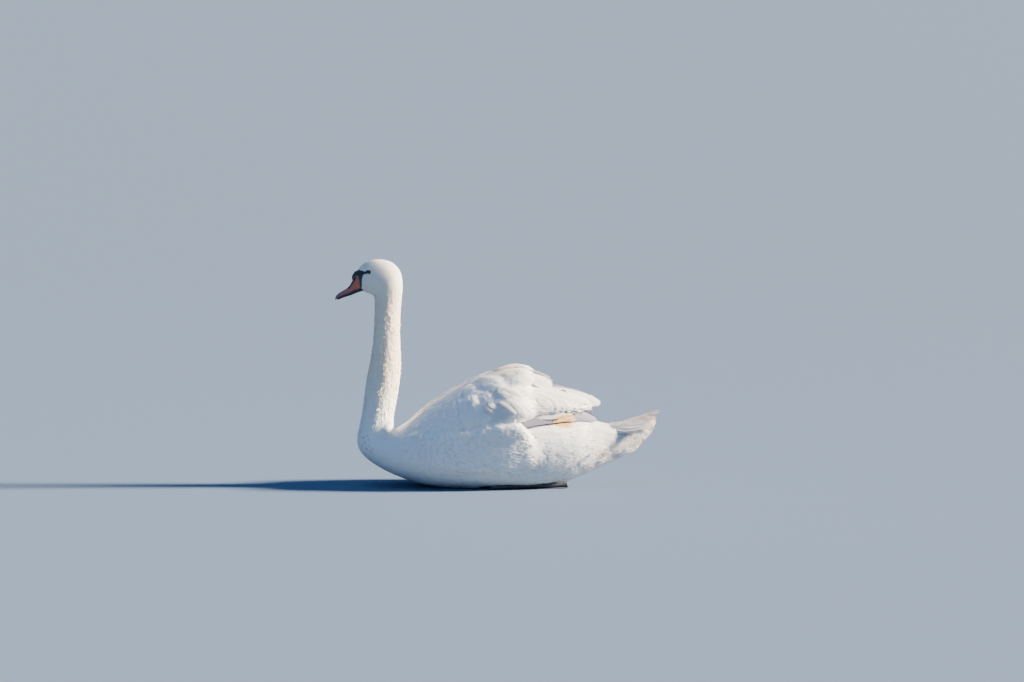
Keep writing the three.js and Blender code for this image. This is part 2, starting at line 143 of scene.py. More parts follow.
TERTIAL_BED = np.array([
    [20, 60, 282, 110, 196, 16, 18, 50],
    [90, 54, 280, 105, 200, 17, 18, 50],
    [150, 46, 270, 94, 206, 15, 16, 50],
    [205, 36, 257, 78, 212, 10, 12, 50],
    [258, 27, 240, 56, 218, 4, 5, 50],
], float)
LEAF_POWER = 0.85  # under 1 the sections of the wing are fuller than ellipses
WING_FORMS = [FLANK, WING_ARM, SCAPULARS, COVERT_LOBE, TERTIAL_BED]
SIDES = ((1, "right"), (-1, "left"))

random = np.random.default_rng(41)


# ---------------------------------------------------------------- vectors and curves
def metres(p):
    """Table millimetres to the row frame."""
    return (np.asarray(p, float) - [MIDDLE, 0, 0]) / 1000


def unit(v):
    return v / np.maximum(np.linalg.norm(v, axis=-1, keepdims=True), 1e-12)


def dot(a, b):
    return (a * b).sum(-1)


def fade(v, start, length):
    """0 up to start, 1 from start + length on."""
    return np.clip((v - start) / length, 0, 1)


def soft(v, width):
    """0 where v is negative and 1 where it is positive, softly over the given width."""
    return np.clip(0.5 + v / width, 0, 1)


def bell(v, width):
    return np.exp(-((v / width) ** 2))


def one_side(p):
    """Points with those of the left side mirrored to the right."""
    return np.stack([p[:, 0], np.abs(p[:, 1]), p[:, 2]], 1)


def between(rows, t):
    """Smooth rows of numbers at places t, in steps of one row."""
    i = np.clip(np.floor(t).astype(int), 0, len(rows) - 2)
    f = (t - i)[:, None]
    a, b, c, d = (rows[np.clip(i + k, 0, len(rows) - 1)] for k in (-1, 0, 1, 2))
    return 0.5 * (2 * b + (c - a) * f + (2 * a - 5 * b + 4 * c - d) * f**2 + (3 * b - a - 3 * c + d) * f**3)


def power(v, p):
    return np.sign(v) * np.abs(v) ** p


def turns(sides):
    """Angles evenly round a circle."""
    return np.linspace(0, 2 * np.pi, sides, endpoint=False)


def section_rings(rows, sides, up_power, out_power):
    """Points [place, side, xyz] round a tube. rows are top [x, z], bottom [x, z], half width and low."""
    tx, tz, bx, bz, half_width, low = rows.T[:, :, None]
    a = turns(sides)[None]
    half = np.hypot(tx - bx, tz - bz) / 2
    ux, uz = (tx - bx) / (2 * half), (tz - bz) / (2 * half)
    up = half * power(np.cos(a), up_power) - low * np.sin(a) ** 2
    out = half_width * power(np.sin(a), out_power)
    return np.stack([(tx + bx) / 2 + ux * up, out, (tz + bz) / 2 + uz * up], -1)


def globe(rings, sides, ends):
    """Points [place, side, xyz] on a sphere of radius 1 about z, open by the angle ends, and their angles."""
    u, v = np.meshgrid(np.linspace(ends, np.pi - ends, rings), turns(sides), indexing="ij")
    return np.stack([np.sin(u) * np.cos(v), np.sin(u) * np.sin(v), np.cos(u)], -1), u, v


def leaf_rings(rows, t, sides, side):
    """Points [place, side, xyz] round a wing or flank form. side is 1 for the right, -1 for the left."""
    x, ty, tz, by, bz, out, inward, _ = between(rows, t).T[:, :, None]
    a = turns(sides)[None]
    half = np.hypot(ty - by, tz - bz) / 2
    uy, uz = (ty - by) / (2 * half), (tz - bz) / (2 * half)
    up = half * power(np.cos(a), LEAF_POWER)
    off = power(np.sin(a), LEAF_POWER) * np.where(np.sin(a) > 0, out, inward)
    y = side * ((ty + by) / 2 + uy * up + uz * off)
    return np.stack([x + 0 * up, y, (tz + bz) / 2 + uz * up - uy * off], -1)


# ---------------------------------------------------------------- meshes
def finished(obj, mat, slot, *replaced):
    """Gives a piece its material and its place in the model."""
    obj.data.materials.append(mat)
    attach(obj, "root")
    if replaced:
        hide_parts(*replaced)


def placed(name, data):
    """An object for a mesh, light or camera, put in the scene."""
    obj = bpy.data.objects.new(name, data)
    bpy.context.scene.collection.objects.link(obj)
    return obj


def new_object(name, verts, faces):
    """An object from arrays. A face has four corners, and the last two of a triangle are the same."""
    mesh = bpy.data.meshes.new(name)
    sizes = np.where(faces[:, 2] == faces[:, 3], 3, 4)
    loops = faces[np.arange(4) < sizes[:, None]]
    mesh.vertices.add(len(verts))
    mesh.vertices.foreach_set("co", verts.ravel())
    mesh.loops.add(len(loops))
    mesh.loops.foreach_set("vertex_index", loops)
    mesh.polygons.add(len(faces))
    mesh.polygons.foreach_set("loop_start", np.concatenate([[0], np.cumsum(sizes)[:-1]]))
    mesh.update(calc_edges=True)
    mesh.validate()
    return placed(name, mesh)


def tube_faces(rings, sides, first=0):
    """Quads of a closed tube, then a fan at each end round one more vertex."""
    r, s = np.meshgrid(np.arange(rings - 1), np.arange(sides), indexing="ij")
    n = (s + 1) % sides
    here, ahead = r * sides, (r + 1) * sides
    quads = np.stack([here + s, here + n, ahead + n, ahead + s], -1).reshape(-1, 4)
    s, n, last, end = s[0], n[0], ahead[-1], rings * sides
    root_fan = np.stack([end + 0 * s, n, s, s], 1)
    tip_fan = np.stack([end + 1 + 0 * s, last + s, last + n, last + n], 1)
    return np.vstack([quads, root_fan, tip_fan]) + first


def tube_points(rings):
    """Ring points and the two end points of a closed tube."""
    return np.vstack([rings.reshape(-1, 3), rings[0].mean(0), rings[-1].mean(0)])


def outward(obj):
    """Turns every face of a closed mesh outwards."""
    bm = bmesh.new()
    bm.from_mesh(obj.data)
    bmesh.ops.recalc_face_normals(bm, faces=bm.faces)
    bm.to_mesh(obj.data)
    bm.free()


def read(items, name, width, kind=float):
    """One property of many items, a row for each."""
    out = np.empty(len(items) * width, kind)
    items.foreach_get(name, out)
    return out.reshape(-1, width)


def points_of(mesh):
    return read(mesh.vertices, "co", 3)


def edges_of(mesh):
    return read(mesh.edges, "vertices", 2, int)


def set_points(mesh, p):
    mesh.vertices.foreach_set("co", p.ravel())
    mesh.update()


def shade_smooth(mesh):
    mesh.polygons.foreach_set("use_smooth", [True] * len(mesh.polygons))
    mesh.update()


def tube_object(name, rings):
    """A closed tube as an object, in table millimetres until it is settled."""
    obj = new_object(name, tube_points(rings), tube_faces(*rings.shape[:2]))
    outward(obj)
    return obj


def settle(obj, p=None):
    """Takes an object in table millimetres, or points given for it, to the row frame, shaded smooth."""
    set_points(obj.data, metres(points_of(obj.data) if p is None else p))
    shade_smooth(obj.data)


def relax(values, edges, rounds, amount=0.5):
    """Averages per-vertex values with their neighbours."""
    count = np.bincount(edges.ravel(), minlength=len(values))[:, None]
    for _ in range(rounds):
        total = np.zeros_like(values)
        for k in range(values.shape[1]):
            total[:, k] = np.bincount(edges[:, 0], values[edges[:, 1], k], len(values))
            total[:, k] += np.bincount(edges[:, 1], values[edges[:, 0], k], len(values))
        values = values + amount * (total / np.maximum(count, 1) - values)
    return values


def paint(obj, name, values):
    """A colour per vertex, read by the materials. One value each makes a grey."""
    values = np.asarray(values, float)
    layer = obj.data.color_attributes.new(name=name, type="FLOAT_COLOR", domain="POINT")
    rgba = np.ones((len(obj.data.vertices), 4), np.float32)
    rgba[:, :3] = values[:, None] if values.ndim == 1 else values
    layer.data.foreach_set("color", rgba.ravel())


# ---------------------------------------------------------------- ruffled places
def blotch(p, centre, size):
    """1 at the centre of a soft patch, 0 outside it."""
    return np.clip(1 - np.linalg.norm((p - centre) / size, axis=1), 0, 1)


def wave(p, x, y, z, shift):
    """A soft noise between 0 and 1 over space, with the given wavelengths in mm."""
    q = 2 * np.pi * p / [x, y, z]
    over = np.sin(q[:, 0] + 1.7 * np.sin(0.8 * q[:, 2] + shift) + 0.6 * q[:, 1])
    return 0.5 + 0.5 * over * np.sin(q[:, 2] + 1.3 * np.sin(0.7 * q[:, 0] - shift) + 0.5 * q[:, 1])


RUFFLES = [  # centre, size, how far the tips stand out, turn of the lie; for the right side
    ([-2, 138, 160], [52, 60, 25], 9.0, (0.1, 0.2, 0.2)),
    ([48, 138, 156], [48, 60, 26], 9.0, (0.1, 0.2, 0.2)),
    ([84, 130, 168], [30, 30, 24], 3.0, (0.1, 0.3, 0.1)),
    ([104, 124, 104], [34, 34, 46], 2.5, (0.2, 0.35, -0.25)),
    ([-60, 112, 242], [26, 44, 20], 8.0, (0.2, 0.3, 0.3)),
    ([-92, 108, 234], [20, 44, 16], 6.0, (0.1, 0.3, 0.3)),
    ([-8, 92, 290], [44, 44, 24], 7.0, (0.0, 0.2, 0.25)),
    ([-70, 92, 268], [40, 44, 22], 5.0, (0.0, 0.1, 0.1)),
    ([38, 104, 268], [44, 50, 18], 6.0, (0.0, 0.1, 0.1)),
    ([58, 118, 224], [56, 60, 34], 8.0, (0.0, 0.1, 0.1)),
    ([-30, 110, 262], [30, 30, 14], 3.5, (0.0, 0.2, 0.2)),
    ([365, 30, 112], [46, 60, 34], 6.0, (0.1, 0.1, -0.1)),
    ([395, 20, 140], [26, 50, 30], 4.0, (0.2, 0.0, 0.1)),
]


def crease_height(x):
    """Height of the crease where the flank feathers lap over the lower edge of the wing."""
    return np.interp(x, [-213, -130, -36, 20], [155, 166, 176, 188])


def ruffle(p):
    """How far tips stand out, and how the lie turns, at each root."""
    lift, turn = np.zeros(len(p)), np.zeros((len(p), 3))
    side = np.sign(p[:, 1])
    folded = one_side(p)
    for centre, size, height, (x, y, z) in RUFFLES:
        w = np.clip(1.6 * blotch(folded, centre, size), 0, 1)
        lift += w * height
        turn += w[:, None] * np.stack([x + 0 * side, y * side, z + 0 * side], 1)
    return lift, turn


# ---------------------------------------------------------------- the plumage surface
# Every form of the body and wings as one closed surface, remeshed so that no crease or seam is left,
# with the lie and the length of the feathers at each point.
guide, form_points, form_faces = [], [], []


def take_form(rings, lie_sign, lengths, chart_row, places):
    """Adds a form to the surface, and its points to the guide with lie, feather length, chart and place."""
    n, sides = rings.shape[:2]
    lie = unit(np.gradient(rings, axis=0) * lie_sign)
    u, v = np.meshgrid(np.arange(sides) / sides, np.linspace(0, 1, n))
    columns = [lengths[:, None] + 0 * u, u, (v + chart_row) / (1 + len(WING_FORMS)), places[:, None] + 0 * u]
    guide.append(np.concatenate([rings, lie, np.stack(columns, -1)], 2).reshape(-1, 10))
    form_faces.append(tube_faces(n, sides, sum(map(len, form_points))))
    form_points.append(tube_points(rings))


t = np.linspace(0, len(BODY) - 1, 330)
rows = between(BODY, t)
fullness = 2 / rows[:, 6, None]
take_form(section_rings(rows[:, :6], 96, fullness, fullness), -1, rows[:, -1], 0, t)
for side, _ in SIDES:
    for i, rows in enumerate(WING_FORMS):
        t = np.linspace(0, len(rows) - 1, 16 * len(rows))
        take_form(leaf_rings(rows, t, 64, side), 1, between(rows, t)[:, -1], i + 1, np.full(len(t), -1.0 - i))
guide = np.concatenate(guide)
forms = new_object("forms", np.concatenate(form_points), np.concatenate(form_faces))
outward(forms)
remesh = forms.modifiers.new("one surface", "REMESH")
remesh.mode = "VOXEL"
remesh.voxel_size = VOXEL
surface = bpy.data.meshes.new_from_object(forms.evaluated_get(bpy.context.evaluated_depsgraph_get()))
bpy.data.objects.remove(forms)

points, edges = points_of(surface), edges_of(surface)
for amount in 6 * (0.55, -0.57):  # in and out again, which keeps the volume
    points = relax(points, edges, 1, amount)
x, y, z = points.T
# the flanks run into the belly without a line
blend = (np.abs(y) > FLANK_FROM) & (z < 84) & (x > -245) & (x < 135)
settled = relax(points, edges, 45, 0.6)
points[blend] = settled[blend]
set_points(surface, points)


def swelling(p):
    """How far ruffles and waves lift the surface, and the crease over the wing's edge sinks it, in mm."""
    x, y, z = p.T
    neck_front, neck_up = fade(-x, 235, 30), fade(z, 150, 60)
    swell = 1.1 * ruffle(p)[0] + 1.4 * (wave(p, 64, 90, 46, 1.0) - 0.5) * fade(x, -235, 60)
    swell += 1.3 * (wave(p, 15, 30, 21, 2.0) - 0.5) * neck_front * neck_up * (z < 540)
    crease = bell(z - crease_height(x), CREASE_WIDE) * (np.abs(y) > FLANK_FROM)
    return swell - CREASE_DEEP * crease * fade(x, -225, 40) * fade(-x, -20, 50)


points = points + read(surface.vertex_normals, "vector", 3) * swelling(points)[:, None]
proud = np.maximum(np.abs(points[:, 1]) - FLANK_OUT, 0)
points[:, 1] -= PRESSED * proud * np.sign(points[:, 1])
points[:, 2] = np.maximum(points[:, 2], FLOOR_CLEAR)
set_points(surface, points)

tree = KDTree(len(guide))
for i, p in enumerate(guide[:, :3]):
    tree.insert(p, i)
tree.balance()
nearest = np.array([tree.find(p)[1] for p in points])
field = relax(guide[nearest, 3:7], edges, 14)
lie, feather_length = unit(field[:, :3]), field[:, 3]
vertex_normal = read(surface.vertex_normals, "vector", 3)
quads = read(surface.loops, "vertex_index", 1, int).reshape(-1, 4)
face_centre = points[quads].mean(1)
face_normal = unit(vertex_normal[quads].mean(1))
face_lie = unit(lie[quads].mean(1))
face_length = feather_length[quads].mean(1)
face_chart = guide[nearest[quads[:, 0]], 7:9]
face_place = guide[nearest[quads[:, 0]], 9]  # the place in BODY, or -1, -2 ... on the flank and wing forms
a, b, c, d = (points[quads[:, k]] for k in range(4))
face_area = 0.5 * np.linalg.norm(np.cross(c - a, d - b), axis=1)
bvh = BVHTree.FromPolygons(points.tolist(), quads.tolist())


def project(where):
    """Nearest surface point, its face and its distance, for each point."""
    found = [bvh.find_nearest(p) for p in where.tolist()]
    return [np.array([f[k] for f in found]) for k in (0, 2, 3)]


EYE = {}
for side, _ in SIDES:
    hit = bvh.ray_cast(Vector((EYE_X, side * 80, EYE_Z)), Vector((0, -side, 0)))
    EYE[side] = np.array([EYE_X, hit[0].y - side * (EYE_R - EYE_PROUD), EYE_Z])


# ---------------------------------------------------------------- bare skin and markings
def bare_edge(z):
    """How far back the bare black skin before the face reaches, at each height."""
    heights = [536, 548, 564, 577, 584, 590, 592.5, 595, 599]
    return np.interp(z, heights, [-364.5, -361.5, -360.5, -358.5, -355, -352, -355, -368, -390])


def bare_depth(p):
    """How far inside the bare skin round the bill and eye points in mm lie, less than 0 under feathers."""
    x, y, z = p[:, 0], np.abs(p[:, 1]), p[:, 2]
    front = bare_edge(z) - x + 2.2 * (wave(p, 4.2, 5.0, 3.4, 2.0) - 0.5)
    upper = 593.2 + 0.12 * (x + 343)  # top edge of the strip from the eye to the bill
    lower = 585.5 + 0.28 * (x + 343)
    strip = np.minimum(np.minimum(upper - z, z - lower), EYE_X + 3 - x)
    ring = EYE_RING - np.hypot((x - EYE_X) * 0.93, z - EYE_Z) - 10 * (y < 12)
    deep = np.maximum(np.maximum(front, strip), ring)
    return np.where((z > 530) & (x < -330), deep, -9)


def bare(p):
    """1 on bare skin, 0 under feathers, softly between."""
    return soft(bare_depth(p), 1.2)


BREAST_MARKS = [  # x, z and radius of the grey marks on the left side of the breast
    (-358, 137, 6), (-353, 124, 5), (-343, 132, 4), (-349, 106, 5.5), (-336, 99, 5),
    (-361, 113, 4), (-352, 92, 4), (-341, 115, 3.5), (-347, 143, 3.5), (-332, 108, 3.5),
]


def markings(p):
    """Brown stain, grey marks, and a cream tint with painted warm sunlight, at points in mm, one column each.
    """
    folded = one_side(p)
    brown = 0.9 * blotch(p, [396, 0, 124], [64, 70, 44])
    brown = np.maximum(brown, 1.5 * blotch(p, [444, 0, 196], [90, 110, 60]))
    brown = np.maximum(brown, 0.7 * blotch(folded, [296, 66, 92], [34, 44, 26]))
    grey = np.zeros(len(p))
    for x, z, r in BREAST_MARKS:
        near = np.clip(1.5 - 1.5 * np.hypot(p[:, 0] - x, p[:, 2] - z) / r, 0, 1)
        grey = np.maximum(grey, 0.55 * near * (p[:, 1] < -8))
    # a cream tint on the neck, partly its own colour and partly painted warm sunlight
    cream_and_painted_sun = fade(p[:, 2], 170, 150) * (0.8 - 0.45 * fade(p[:, 2], 500, 70)) * (p[:, 0] < -200)
    # painted golden sunlight on the patch under the primaries
    cream_and_painted_sun = np.maximum(cream_and_painted_sun, 2.6 * blotch(folded, [200, 80, 186], [62, 40, 26]))
    # painted warm glow of light coming through the feathers at the top of the wing
    cream_and_painted_sun = np.maximum(cream_and_painted_sun, 0.6 * blotch(folded, [36, 60, 322], [60, 60, 20]))
    return np.clip(np.stack([brown, grey, cream_and_painted_sun], 1), 0, 1)


# ---------------------------------------------------------------- skin
def coat_depth(length):
    """How far the skin lies under the feathers' outer surface, mm."""
    return np.interp(length, [3, 8, 14, 40], [0.7, 1.5, 3.2, 10])


thickness = np.empty(len(points))
for i, (p, n) in enumerate(zip(points.tolist(), vertex_normal)):
    hit = bvh.ray_cast(Vector(p) - Vector(n) * 0.8, Vector(-n))
    thickness[i] = hit[3] if hit[0] else 200
depth = np.minimum(coat_depth(feather_length), THIN_SHARE * thickness)
depth = np.where(bare(points) > 0.1, BARE_DEPTH, depth)
depth = relax(depth[:, None], edges, 4)[:, 0]
skin_points = points - vertex_normal * depth[:, None]
skin_points[:, 2] = np.maximum(skin_points[:, 2], 2 * FLOOR_CLEAR)
skin = new_object("skin", skin_points, quads)
bm = bmesh.new()
bm.from_mesh(skin.data)
bm.normal_update()
for front in (-313, -327):  # finer towards the face
    near = [e for e in bm.edges if e.verts[0].co.z > FACE_Z + 2 and e.verts[0].co.x < front]
    bmesh.ops.subdivide_edges(bm, edges=near, cuts=1, use_grid_fill=True, smooth=0.0)
bmesh.ops.triangulate(bm, faces=[f for f in bm.faces if len(f.verts) > 4])
bm.to_mesh(skin.data)
bm.free()
skin_points, skin_edges = points_of(skin.data), edges_of(skin.data)
fine = (skin_points[:, 0] < FACE_X) & (skin_points[:, 2] > FACE_Z)
settled = relax(skin_points, skin_edges, 3, 0.5)
skin_points[fine] = settled[fine]
for side, centre in EYE.items():  # sockets and lids
    x, y, z = skin_points.T
    r = np.hypot((x - centre[0]) * 0.94, (z - centre[2]) * 1.1)
    here = (r < 13) & (y * side > 8)
    ball = np.sqrt(np.maximum(EYE_R**2 - np.minimum(r, EYE_R) ** 2, 0))
    socket = side * centre[1] + ball - SOCKET_SINK
    lid = side * centre[1] + np.sqrt(EYE_R**2 - LID_R**2) + LID_THICK
    w_socket = np.clip((5.7 - r) / 0.7, 0, 1)
    w_lid = np.clip((r - 5.0) / 0.8, 0, 1) * np.clip((8.8 - r) / 2.4, 0, 1)
    out = side * y
    out = out * (1 - w_lid) + np.maximum(out, lid - 0.1 * np.maximum(r - 6.4, 0) ** 1.6) * w_lid
    out = out * (1 - w_socket) + socket * w_socket
    skin_points[here, 1] = (side * out)[here]
settle(skin, skin_points)
paint(skin, "mark", markings(skin_points))
paint(skin, "bare", bare(skin_points))


# ---------------------------------------------------------------- feathers
TRIES = 3.2  # places tried for each feather that would fit
WRAP_END = 236  # behind this x the vanes lie flat and no longer bend round the thin end of the wing
WRAP_REACH = 0.7  # rails are drawn to the surface from this share of a feather's half width away
BEYOND = 1.25  # a strip of surface runs this share past the feather's tip
LIFT_OFF = 0.3  # share of a feather's length that goes on past an edge of the surface
EDGE_TURN, EDGE_GAP = 0.3, 0.6  # least cosine and largest share of a step that aren't taken for an edge
LONGEST, SHORTEST = 1.7, 0.4  # steps along a smooth strip, as shares of its mean step
BEND, CURL = 0.6, 0.2  # least cosines between the normals of a smooth strip, along it and across it
FOOT_FROM, FOOT_TO, FOOT_ASIDE = -0.8, 1.12, 6  # shares of the toes' length kept clear, and mm beside them
HEEL_INNER, HEEL_OUTER = 60, 84  # y that are kept clear over the whole foot
BEND_UP = 3  # mm over which feathers bend up to stay clear


def scatter(faces, spacing):
    """Roots at even spacing over some faces of the surface, off the bare skin. spacing is per face, mm."""
    weight = face_area[faces] / spacing[faces] ** 2
    tries = int(TRIES * weight.sum())
    share = np.searchsorted(np.cumsum(weight) / weight.sum(), random.random(tries))
    picked = faces[share.clip(0, len(faces) - 1)]
    f, g = random.random((2, tries, 1))
    a, b, c, d = (points[quads[picked, k]] for k in range(4))
    where = (a * (1 - f) + b * f) * (1 - g) + (d * (1 - f) + c * f) * g
    gap = spacing[picked]
    cell = gap.max()
    grid, chosen = {}, []
    cells = np.floor(where / cell).astype(int)
    near = [(i, j, k) for i in (-1, 0, 1) for j in (-1, 0, 1) for k in (-1, 0, 1)]
    flat = where.tolist()
    for n, (i, j, k) in enumerate(cells.tolist()):
        x, y, z = flat[n]
        r2 = gap[n] ** 2
        others = (q for u, v, w in near for q in grid.get((i + u, j + v, k + w), ()))
        if all((x - q[0]) ** 2 + (y - q[1]) ** 2 + (z - q[2]) ** 2 >= r2 for q in others):
            grid.setdefault((i, j, k), []).append((x, y, z))
            chosen.append(n)
    chosen = np.array(chosen)
    chosen = chosen[~no_feathers(where[chosen])]
    return where[chosen], picked[chosen]


def trace(root, face, length, steps, turn, stiff=0.5):
    """Spines over the surface from each root along the lie of the coat, shortened past an edge."""
    point, normal, way = root.copy(), face_normal[face], unit(face_lie[face] + turn)
    way = unit(way - normal * dot(way, normal)[:, None])
    spine, ups, ways = [point], [normal], [way]
    stride = (length / steps)[:, None]
    left_surface = np.zeros(len(root), bool)
    for _ in range(steps):
        step = np.where(left_surface[:, None], LIFT_OFF * stride, stride)
        ahead = point + way * step
        at, face, distance = project(ahead)
        up = face_normal[face]
        off = (dot(up, normal) < EDGE_TURN) | (distance > EDGE_GAP * step[:, 0])
        ahead = np.where((off & ~left_surface)[:, None], point + way * LIFT_OFF * stride, ahead)
        at[off], up[off] = ahead[off], normal[off]
        left_surface |= off
        new_way = unit(stiff * way + (1 - stiff) * unit(face_lie[face] + turn))
        new_way = np.where(off[:, None], way, new_way)
        new_way = unit(new_way - up * dot(new_way, up)[:, None])
        point, normal, way = at, up, new_way
        spine.append(point)
        ups.append(normal)
        ways.append(way)
    return np.stack(spine, 1), np.stack(ups, 1), np.stack(ways, 1)


class Strips:
    """Strips that feathers are drawn on: t runs from 0 at the root to 1 at the tip, o from -1 to 1 across."""

    def __init__(self, spine, up, way, half, long, face, wrap=False):
        across = unit(np.cross(up, way)) * half[:, None, None]
        self.rails = np.stack([spine - across, spine, spine + across], 2)
        self.ups = np.stack([up] * 3, 2)
        self.half, self.long, self.face = half, long, face
        if wrap:
            for k in (0, 2):
                flat = self.rails[:, :, k].reshape(-1, 3)
                at, hit, distance = project(flat)
                near = distance < WRAP_REACH * np.repeat(half, spine.shape[1])
                near &= flat[:, 0] < WRAP_END
                flat[near] = at[near]
                normal = self.ups[:, :, k].reshape(-1, 3).copy()
                normal[near] = face_normal[hit[near]]
                self.rails[:, :, k] = flat.reshape(spine.shape)
                self.ups[:, :, k] = normal.reshape(spine.shape)

    def smooth(self):
        """The strips that lie smoothly, without those that fold over the end of a form."""
        step = np.linalg.norm(np.diff(self.rails, axis=1), axis=3)
        middle = step[:, :, 1].mean(1)[:, None, None]
        keep = ((step < LONGEST * middle) & (step > SHORTEST * middle)).all((1, 2))
        keep &= (dot(self.ups[:, 1:], self.ups[:, :-1]) > BEND).all((1, 2))
        keep &= (dot(self.ups[:, :, 0], self.ups[:, :, 2]) > CURL).all(1)
        return keep

    def only(self, keep):
        for name in ("rails", "ups", "half", "long", "face"):
            setattr(self, name, getattr(self, name)[keep])

    def at(self, pick, t, o):
        """Point and upward direction at places t, o [blade, station, rail] of the picked strips."""
        steps = self.rails.shape[1] - 1
        f = np.clip(t, 0, BEYOND) / BEYOND * steps
        i = np.minimum(f.astype(int), steps - 1)
        f = (f - i)[..., None, None]
        pick = pick.reshape(-1, *[1] * (t.ndim - 1))
        share = np.stack([(o * o - o) / 2, 1 - o * o, (o * o + o) / 2], -1)[..., None]
        out = []
        for values in (self.rails, self.ups):
            out.append(((values[pick, i] * (1 - f) + values[pick, i + 1] * f) * share).sum(-2))
        return out[0], unit(out[1])


def over_surface(root, face, length, half, steps, turn, stiff=0.5, wrap=True):
    """Strips that follow the surface, and with wrap bend round its forms."""
    spine, up, way = trace(root, face, length * BEYOND, steps, turn, stiff)
    return Strips(spine, up, way, half, length, face, wrap=wrap)


def above_floor(p):
    """Heights, pressed up softly where feathers would go through the floor or come down through a foot."""
    far = (TOE_ROOT[0] - p[:, 0]) / (TOE_ROOT[0] - TOE_ENDS[1][0])
    inner = TOE_ROOT[1] + (TOE_ENDS[0][1] - TOE_ROOT[1]) * far - FOOT_ASIDE
    outer = TOE_ROOT[1] + (TOE_ENDS[2][1] - TOE_ROOT[1]) * far + FOOT_ASIDE
    y, z = np.abs(p[:, 1]), p[:, 2]
    over_foot = (far > FOOT_FROM) & (far < FOOT_TO)
    over_foot &= (y > np.minimum(inner, HEEL_INNER)) & (y < np.maximum(outer, HEEL_OUTER))
    low = np.where(over_foot, FOOT_TOP, FLOOR_CLEAR)
    bent = low + BEND_UP * np.exp(np.minimum(z - low - BEND_UP, 0) / BEND_UP)
    return np.where(z < low + BEND_UP, bent, z)


class Coat:
    """The feathers of one piece, gathered as arrays and written as one mesh of closed thin blades."""

    def __init__(self, name):
        self.name, self.count = name, 0
        self.verts, self.faces, self.charts, self.vanes, self.marks, self.rims = [], [], [], [], [], []

    def blades(
        self, strips, pick, t, o, width, rise, thick, cup=0.1, tone=None, closed=False, cream_and_painted_sun=0.0, painted_shade=0.0
    ):
        """Blades along strips. t, o, width (a share of the strip) and rise (mm) are [blade, station]."""
        n, k = t.shape
        rails = 7 if closed else 3
        q = np.linspace(-1, 1, rails)
        pos, up = strips.at(pick, np.repeat(t[..., None], rails, 2), o[..., None] + width[..., None] * q)
        half = strips.half[pick][:, None] * width
        drop = cup * half[..., None] * (q**2)
        pos = pos + up * (rise[..., None] - drop)[..., None]
        thick = np.minimum(thick, 0.25 * half + 0.05)[..., None, None]
        if closed:
            ring = np.concatenate([pos, (pos - up * thick)[:, :, -2:0:-1]], 2)
            places = np.concatenate([q, q[-2:0:-1]])
        else:
            pos[:, :, rails // 2] += up[:, :, rails // 2] * thick[:, :, 0]
            ring, places = pos, q
        s, m = len(places), k - 2
        each = m * s + 2
        middle = pos[:, :, rails // 2]
        verts = np.concatenate([ring[:, 1:-1].reshape(n, -1, 3), middle[:, :1], middle[:, -1:]], 1)
        pattern = tube_faces(m, s, self.count)
        self.faces.append((pattern + np.arange(n)[:, None, None] * each).reshape(-1, 4))
        self.verts.append(verts.reshape(-1, 3))
        real_u = (o[..., None] + width[..., None] * places) * strips.half[pick][:, None, None]
        real_v = np.repeat((t * strips.long[pick][:, None])[..., None], s, 2)
        vane = np.stack([real_u, real_v], -1)
        vane = np.concatenate([vane[:, 1:-1].reshape(n, -1, 2), vane[:, 0, :1], vane[:, -1, :1]], 1)
        self.vanes.append(vane.reshape(-1, 2) / 100)
        reach = np.stack([strips.half[pick] * 2, strips.long[pick] * 1.2], 1)[:, None]
        patch = PATCH * np.clip(vane / reach - [0, 0.5], -0.5, 0.5)
        self.charts.append((face_chart[strips.face[pick]][:, None] * 0.99 + 0.005 + patch).reshape(-1, 2))
        rim = np.zeros(each, bool)
        rim[np.arange(m)[:, None] * s + [0, rails - 1]] = True
        rim[m * s :] = True
        self.rims.append(np.tile(rim, n))
        tone = np.repeat(random.random(n) if tone is None else tone[pick], each)
        mark = markings(verts.reshape(-1, 3)) if closed else np.repeat(markings(middle[:, k // 2]), each, 0)
        # a floor in the grey channel paints shade on a blade, one in the cream channel tints it
        mark = np.maximum(mark, [0, painted_shade, cream_and_painted_sun])
        self.marks.append(np.hstack([mark, tone[:, None]]))
        self.count += n * each

    def build(self, mat, *replaced):
        verts = np.concatenate(self.verts)
        verts[:, 2] = above_floor(verts)
        obj = new_object(self.name, metres(verts), np.concatenate(self.faces))
        mesh = obj.data
        shade_smooth(mesh)
        loops = read(mesh.loops, "vertex_index", 1, int)[:, 0]
        for name, uv in (("OFBake", self.charts), ("vane", self.vanes)):
            layer = mesh.uv_layers.new(name=name)
            layer.data.foreach_set("uv", np.concatenate(uv)[loops].astype(np.float32).ravel())
        mesh.uv_layers["OFBake"].active_render = True
        mesh.uv_layers.active = mesh.uv_layers["OFBake"]
        marks = np.concatenate(self.marks)
        paint(obj, "mark", marks[:, :3])
        paint(obj, "tone", marks[:, 3])
        pairs, rim = edges_of(mesh), np.concatenate(self.rims)
        sharp = mesh.attributes.new("sharp_edge", "BOOLEAN", "EDGE")
        sharp.data.foreach_set("value", rim[pairs[:, 0]] & rim[pairs[:, 1]])
        finished(obj, mat, "plumage", *replaced)


